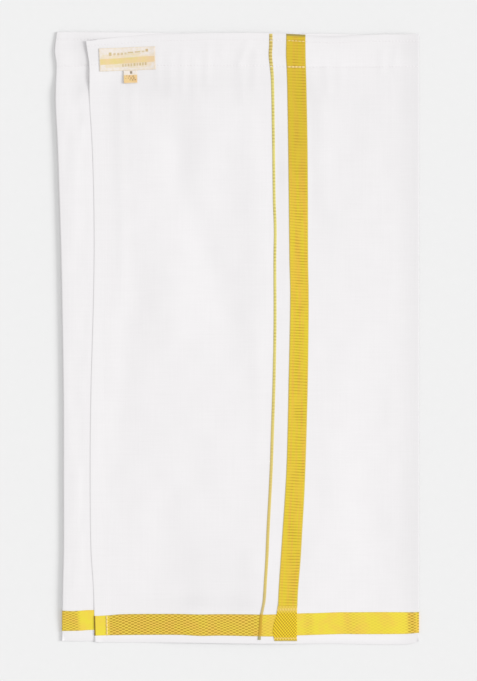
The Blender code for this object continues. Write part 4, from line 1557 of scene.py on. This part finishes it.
def sew(name, seams, thread=white_thread, width=THREAD_WIDTH, share=BAR_SHARE):
    """Sews along seams, each an array of points in millimetres, and returns one plain mesh object."""
    points = np.concatenate(seams)
    edges = []
    first = 0
    for seam in seams:
        edges += [(place, place + 1) for place in range(first, first + len(seam) - 1)]
        first += len(seam)
    mesh = bpy.data.meshes.new(name)
    mesh.from_pydata(((points + [0.0, UP_TO_Y, 0.0]) * MM).tolist(), edges, [])
    sewn = bpy.data.objects.new(name, mesh)
    bpy.context.scene.collection.objects.link(sewn)
    modifier = sewn.modifiers.new("stitches", "NODES")
    modifier.node_group = STITCHES
    sockets = {
        item.name: item.identifier for item in STITCHES.interface.items_tree if item.in_out == "INPUT"}
    modifier[sockets["Stitch length"]] = STITCH * MM
    modifier[sockets["Bar share"]] = share
    modifier[sockets["Thread width"]] = width * MM
    modifier[sockets["Thread"]] = thread
    made = bpy.data.meshes.new_from_object(sewn.evaluated_get(bpy.context.evaluated_depsgraph_get()))
    sewn.modifiers.clear()
    sewn.data = made
    made.shade_smooth()
    print(f"{name}: {len(made.polygons) // (BAR_SEGMENTS * BAR_RINGS)} stitches")
    return sewn


print("stitches of", STITCH, "mm in", THREAD_WIDTH, "mm thread")

# %% [markdown]
# The seams' paths lie on the cloth's outer face, a little sunk into it. Where a seam crosses the end stripe
# or the border it rides over them. The casing has its stitch line and a second row near the waist, and both
# run right round the garment. The side hem has one row. On gold the thread takes up its colour and looks
# cream, so those stretches are pieces of their own, with a cream thread.

# %% Seams
SUNK = 0.05
THREAD_REST = 0.06
OVER_GOLD = 0.34
HIDDEN_REST = 0.02


def on_face(points, lift):
    """Lifts a seam's points off the cloth, taking the whole run as level, which it nearly is."""
    return points + [0.0, 0.0, 1.0] * np.broadcast_to(lift, (len(points),))[:, None]


def over_seam(x, seen_up):
    """A seam on the over front, by X and seen height, raised where it crosses gold."""
    points = over_face(x, seen_up)
    middle = along(END_STRIPE, seen_up, "middle")
    on_stripe = 1.0 - smooth((np.abs(x - middle) - 9.0) / 2.0)
    on_line = 1.0 - smooth((np.abs(x - along(FINE_LINE, seen_up, "middle")) - 1.0) / 2.0)
    on_border = smooth((seen_up - 8.0) / 1.0) * (1.0 - smooth((seen_up - 29.0) / 1.0))
    on_gold = np.maximum(np.maximum(on_stripe, on_line), on_border)
    return on_face(points, THREAD_REST - SUNK + OVER_GOLD * on_gold)


def under_seam(up):
    """A seam on the strip of the under front that shows. It starts past the roll of the left fold."""
    half_turn = math.pi * float(left_radius(np.array(up)))
    distances = np.linspace(half_turn + 2.0, half_turn + 42.0, 60)
    return on_face(under_place(distances, np.full_like(distances, up)), HIDDEN_REST)


def back_seam(up):
    """A seam across the back, just short of both folds."""
    shares = np.linspace(0.004, 0.996, 80)
    return on_face(back_place(shares, np.full_like(shares, up)), HIDDEN_REST)


SeamPoint = namedtuple("SeamPoint", "x up")
CASING_LINE = (
    SeamPoint(-147.0, 579.8),
    SeamPoint(-71.0, 578.9),
    SeamPoint(4.0, 578.8),
    SeamPoint(36.0, 577.9),
    SeamPoint(60.0, 577.3),
    SeamPoint(110.0, 577.3),
    SeamPoint(182.0, 578.0),
)
BAND_SIDES = (49.8, 69.2)
WHITE_STOPS = 2.0
CREAM_STARTS = 2.8
HEM_SUNK = 0.1


def row_seam(line, low_x, high_x):
    """A stretch of the casing's stitch line (a table) or of the row near the waist (None), between two X."""
    x = np.linspace(low_x, high_x, max(12, round((high_x - low_x) / 2.0)))
    if line is None:
        return over_seam(x, bend(np.full_like(x, TOP_ROW), x, OVER_HEM, OVER_WAIST))
    return over_seam(x, along(line, x, "up"))


def hem_seam(low_up, high_up):
    """A stretch of the side hem's row between two heights."""
    up = np.linspace(low_up, high_up, max(12, round((high_up - low_up) / 2.5)))
    return over_seam(along(SECTIONS, up, "free_edge") + SIDE_HEM + 0.7, up) - [0.0, 0.0, HEM_SUNK]


over_stitches = sew("over_front_stitches", [
    row_seam(line, *ends) for line in (CASING_LINE, None)
    for ends in ((-147.0, BAND_SIDES[0] - WHITE_STOPS), (BAND_SIDES[1] + WHITE_STOPS, RIGHT_FOLD - 2.0))
] + [hem_seam(4.0, 7.4), hem_seam(31.0, SEAM - 2.0)])
on_band = (BAND_SIDES[0] + CREAM_STARTS, BAND_SIDES[1] - CREAM_STARTS)
stitches_on_gold = sew("over_front_stitches_on_gold", [
    row_seam(CASING_LINE, *on_band), hem_seam(11.4, 26.6) + [0.0, 0.0, HEM_SUNK],
], gilt_thread, GOLD_THREAD_WIDTH, share=1.3)
row_on_gold = sew("over_front_row_on_gold", [row_seam(None, *on_band)], gilt_thread, 1.1, share=1.1)
under_stitches = sew("under_front_stitches", [under_seam(SEAM), under_seam(TOP_ROW)])
back_stitches = sew("back_stitches", [back_seam(SEAM), back_seam(TOP_ROW)])

# %% [markdown]
# ## Label
#
# The woven label is damask: cream satin with a gold bar and rows of small marks, all of them plain bars,
# dashes and spots. Each mark is one row of the table, in millimetres from the label's middle. The amount of
# gold at each point of its fine mesh is an attribute that the shader reads, and a second one adds brown to
# the smallest marks. Attributes keep soft, even edges on such small marks, which a texture would blur.

# %% Label marks
LABEL_CENTRE = (-109.1, 585.4)
LABEL_SIZE = (56.0, 23.0)
LABEL_TURN = math.radians(2.2)
LABEL_WALL = 0.4
LABEL_LIFT = 0.5
TAB_SIZE = (13.5, 12.4)
TAB_SHIFT = 2.4

Mark = namedtuple("Mark", "x y half_width half_height slope gold")
LABEL_MARKS = (
    Mark(0.0, -1.5, 27.4, 3.0, 0.026, 1.0),
    Mark(1.0, -5.6, 23.0, 2.2, 0.02, 0.36),
    Mark(-7.0, 3.6, 19.0, 1.6, 0.015, 0.3),
    Mark(-17.0, 5.3, 1.3, 1.7, 0.0, 0.9),
    Mark(-12.6, 5.2, 1.2, 1.1, 0.0, 0.75),
    Mark(-8.9, 5.2, 1.2, 1.1, 0.0, 0.8),
    Mark(-5.2, 5.3, 1.2, 1.1, 0.0, 0.75),
    Mark(-1.6, 5.4, 1.2, 1.1, 0.0, 0.6),
    Mark(-8.0, 3.3, 7.0, 0.6, 0.01, 0.5),
    Mark(3.4, 6.2, 2.9, 0.7, 0.02, 0.8),
    Mark(10.4, 6.4, 2.9, 0.7, 0.02, 0.85),
    Mark(6.7, 4.4, 7.0, 0.6, 0.02, 0.65),
    Mark(16.0, 6.6, 1.4, 0.8, 0.02, 0.6),
    Mark(19.8, 8.0, 1.3, 1.3, 0.0, 1.0),
    Mark(0.0, 2.4, 27.0, 0.5, 0.026, 0.4),
    Mark(-14.0, -6.2, 6.0, 0.7, 0.0, 0.3),
    Mark(-4.6, -6.4, 0.9, 1.4, 0.0, 0.75),
    Mark(-1.8, -6.3, 0.9, 1.4, 0.0, 0.75),
    Mark(1.0, -6.2, 0.9, 1.4, 0.0, 0.85),
    Mark(3.8, -6.1, 0.9, 1.4, 0.0, 0.8),
    Mark(7.0, -5.9, 0.9, 1.4, 0.0, 0.9),
    Mark(9.8, -5.8, 0.9, 1.4, 0.0, 0.8),
    Mark(12.6, -5.7, 0.9, 1.4, 0.0, 0.95),
    Mark(15.4, -5.6, 0.9, 1.4, 0.0, 0.85),
    Mark(18.2, -5.5, 0.9, 1.4, 0.0, 0.95),
    Mark(10.0, -8.6, 9.4, 0.5, 0.02, 0.45),
    Mark(-27.3, 0.0, 0.6, 11.5, 0.0, 0.2),
    Mark(27.3, 0.0, 0.6, 11.5, 0.0, 0.2),
    Mark(0.0, 11.0, 28.0, 0.4, 0.0, 0.2),
    Mark(0.0, -11.0, 28.0, 0.4, 0.0, 0.2),
)
TAB_MARKS = (
    Mark(0.0, -2.2, 6.8, 4.0, 0.0, 1.0),
)
TAB_DARK_MARKS = (
    Mark(0.9, 4.3, 1.1, 1.4, 0.0, 0.85),
    Mark(-3.6, 0.9, 0.5, 0.5, 0.0, 0.6),
    Mark(-1.0, 0.7, 0.6, 0.5, 0.0, 0.8),
    Mark(2.8, 0.5, 0.7, 0.6, 0.0, 0.85),
    Mark(-4.6, -1.5, 0.5, 0.5, 0.0, 0.45),
    Mark(-2.0, -1.3, 0.5, 0.5, 0.0, 0.7),
    Mark(0.6, -1.4, 0.6, 0.6, 0.0, 0.8),
    Mark(3.4, -1.4, 0.7, 0.6, 0.0, 0.8),
    Mark(-0.4, -3.2, 0.6, 0.5, 0.0, 0.6),
    Mark(2.2, -3.3, 0.7, 0.6, 0.0, 0.75),
    Mark(4.8, -3.1, 0.7, 0.6, 0.0, 0.75),
)


def gold_at(marks, x, y):
    """How much gold thread shows at places on a label, with edges as soft as one thread."""
    total = np.zeros_like(x)
    for mark in marks:
        away_x = np.abs(x - mark.x) - mark.half_width
        away_y = np.abs(y - mark.y - mark.slope * x) - mark.half_height
        inside = (1.0 - smooth(away_x / 0.5 + 0.5)) * (1.0 - smooth(away_y / 0.5 + 0.5))
        total = np.maximum(total, mark.gold * inside)
    return total


print(len(LABEL_MARKS), "marks on the label")

# %% [markdown]
# The label's satin ground is cream, and its gold yarn is paler than the zari because cream threads show
# between its floats. A fine row of floats across the label gives it the slight sheen of damask. The ribs
# are drawn about twice as coarse as real ones, so that a close view shows them.

# %% Label material


def label_material(name, gold, warmer):
    """Woven satin: a blotched cream ground, yarn that runs from gold to a warmer gold, and brown marks."""
    material, tree, shader = new_material(name, roughness=0.5, sheen=0.2)
    uv = add_node(tree, "ShaderNodeUVMap", uv_map="weave")
    amount = add_node(tree, "ShaderNodeAttribute", attribute_name="figure")
    grain = add_node(tree, "ShaderNodeTexNoise", {"Vector": uv.outputs["UV"], "Scale": 0.35, "Detail": 3.0})
    blotch = add_node(tree, "ShaderNodeMapRange", {"Value": grain.outputs["Fac"], 1: 0.35, 2: 0.65})
    cream = add_node(tree, "ShaderNodeMix", {0: blotch.outputs[0], 6: linear("e9e1dc"), 7: linear("e4d9c9")},
                     data_type="RGBA")
    drift = add_node(tree, "ShaderNodeTexNoise", {"Vector": uv.outputs["UV"], "Scale": 0.12, "Detail": 3.0})
    warm = add_node(
        tree, "ShaderNodeMapRange", {"Value": drift.outputs["Fac"], 1: 0.38, 2: 0.62, 3: 0.0, 4: 0.8})
    parts = add_node(tree, "ShaderNodeSeparateXYZ", {0: uv.outputs["UV"]})
    right_end = add_node(tree, "ShaderNodeMapRange", {"Value": parts.outputs["X"], 1: 10.0, 2: 22.0})
    warm = add_node(
        tree, "ShaderNodeMath", {0: warm.outputs[0], 1: right_end.outputs[0]}, operation="MAXIMUM")
    yarn = add_node(
        tree, "ShaderNodeMix", {0: warm.outputs[0], 6: linear(gold), 7: linear(warmer)}, data_type="RGBA")
    colour = add_node(
        tree, "ShaderNodeMix", {0: amount.outputs["Fac"], 6: cream.outputs[2], 7: yarn.outputs[2]},
        data_type="RGBA")
    brown = add_node(tree, "ShaderNodeAttribute", attribute_name="brown")
    colour = add_node(
        tree, "ShaderNodeMix", {0: brown.outputs["Fac"], 6: colour.outputs[2], 7: linear("7c6744")},
        data_type="RGBA")
    tree.links.new(colour.outputs[2], shader.inputs["Base Color"])
    ribs = add_node(tree, "ShaderNodeTexWave", {"Vector": uv.outputs["UV"], "Scale": 0.45, "Distortion": 0.4},
                    bands_direction="Y")
    bump = add_node(
        tree, "ShaderNodeBump", {"Height": ribs.outputs["Fac"], "Strength": 0.25, "Distance": 0.0001})
    tree.links.new(bump.outputs["Normal"], shader.inputs["Normal"])
    return material


label_damask = label_material("Cream and gold damask", "e1ce88", "e8cb9e")
tab_damask = label_material("Orange gold damask", "e6c78c", "e3bb84")
print("materials:", label_damask.name, "and", tab_damask.name)

# %% [markdown]
# The label is sewn on flat, but its free end and the tab below it lift a little off the cloth. One function
# builds both on the over front's face, tilted as they lie, and a small function for each gives its curl.

# %% Label and size tab
TRIM = 0.2


def woven_tag(name, low, high, centre, marks, dark_marks, material, curl):
    """A tag between two corners of the label's own frame, with its marks about a centre and a curl."""
    across = spaced(low[0], high[0], 0.5)[None, :]
    upward = spaced(low[1], high[1], 0.5)[:, None]
    local_x = across + 0.0 * upward
    local_y = upward + 0.0 * across
    x = LABEL_CENTRE[0] + local_x * math.cos(LABEL_TURN) - local_y * math.sin(LABEL_TURN)
    seen_up = LABEL_CENTRE[1] + local_x * math.sin(LABEL_TURN) + local_y * math.cos(LABEL_TURN)
    face = over_face(x, seen_up)
    outer = face + (LABEL_LIFT + curl(local_x, local_y))[..., None] * grid_normals(face)
    made = shell(name, outer, LABEL_WALL, np.stack([local_x, local_y], axis=-1), material)
    add_amounts(made, "figure", gold_at(marks, local_x - centre[0], local_y - centre[1]))
    add_amounts(made, "brown", gold_at(dark_marks, local_x - centre[0], local_y - centre[1]))
    return made


half_width = 0.5 * LABEL_SIZE[0]
half_height = 0.5 * LABEL_SIZE[1]
small_marks = [mark for mark in LABEL_MARKS if 0.8 < mark.half_width < 3.0]
label = woven_tag(
    "label_cloth", (-half_width + TRIM, -half_height + TRIM), (half_width - TRIM, half_height - TRIM),
    (0.0, 0.0), LABEL_MARKS, [mark._replace(gold=0.34 * mark.gold) for mark in small_marks], label_damask,
    lambda x, y: 0.25 * smooth((x - 18.0) / 10.0) + 0.12 * np.sin(x / 5.0))

tab_low = (TAB_SHIFT - 0.5 * TAB_SIZE[0] + TRIM, -half_height - TAB_SIZE[1] - 0.3)
tab_high = (TAB_SHIFT + 0.5 * TAB_SIZE[0] - TRIM, -half_height - TRIM)
tab_centre = (0.5 * (tab_low[0] + tab_high[0]), 0.5 * (tab_low[1] + tab_high[1]))
tab = woven_tag(
    "size_tab_cloth", tab_low, tab_high, tab_centre, TAB_MARKS, TAB_DARK_MARKS, tab_damask,
    lambda x, y: 0.5 * smooth((-half_height - y) / 12.0) + 0.35 * smooth((TAB_SHIFT + 1.0 - x) / 7.0))

# %% [markdown]
# Each shell stands for the solid of the same stretch, and every piece rides on the garment's one body: the
# three walls, the gold, the stitches and the labels. The solids that the walls and the labels stand in for
# are hidden.

# %% Ride and replace
for piece, node in ((over_front, "over_front"), (under_front, "under_front"), (back, "back")):
    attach(piece, "root")
    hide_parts(node)

over_gold = [end_stripe, twill, fine_line, over_border]
over_sewing = [over_stitches, stitches_on_gold, row_on_gold]
for piece in over_gold + [under_border, back_border] + over_sewing + [under_stitches, back_stitches]:
    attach(piece, "root")

for piece, node in ((label, "label"), (tab, "size_tab")):
    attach(piece, "root")
    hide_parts(node)

print("three sheets, with", len(over_gold + over_sewing) + 2, "pieces on the over front")
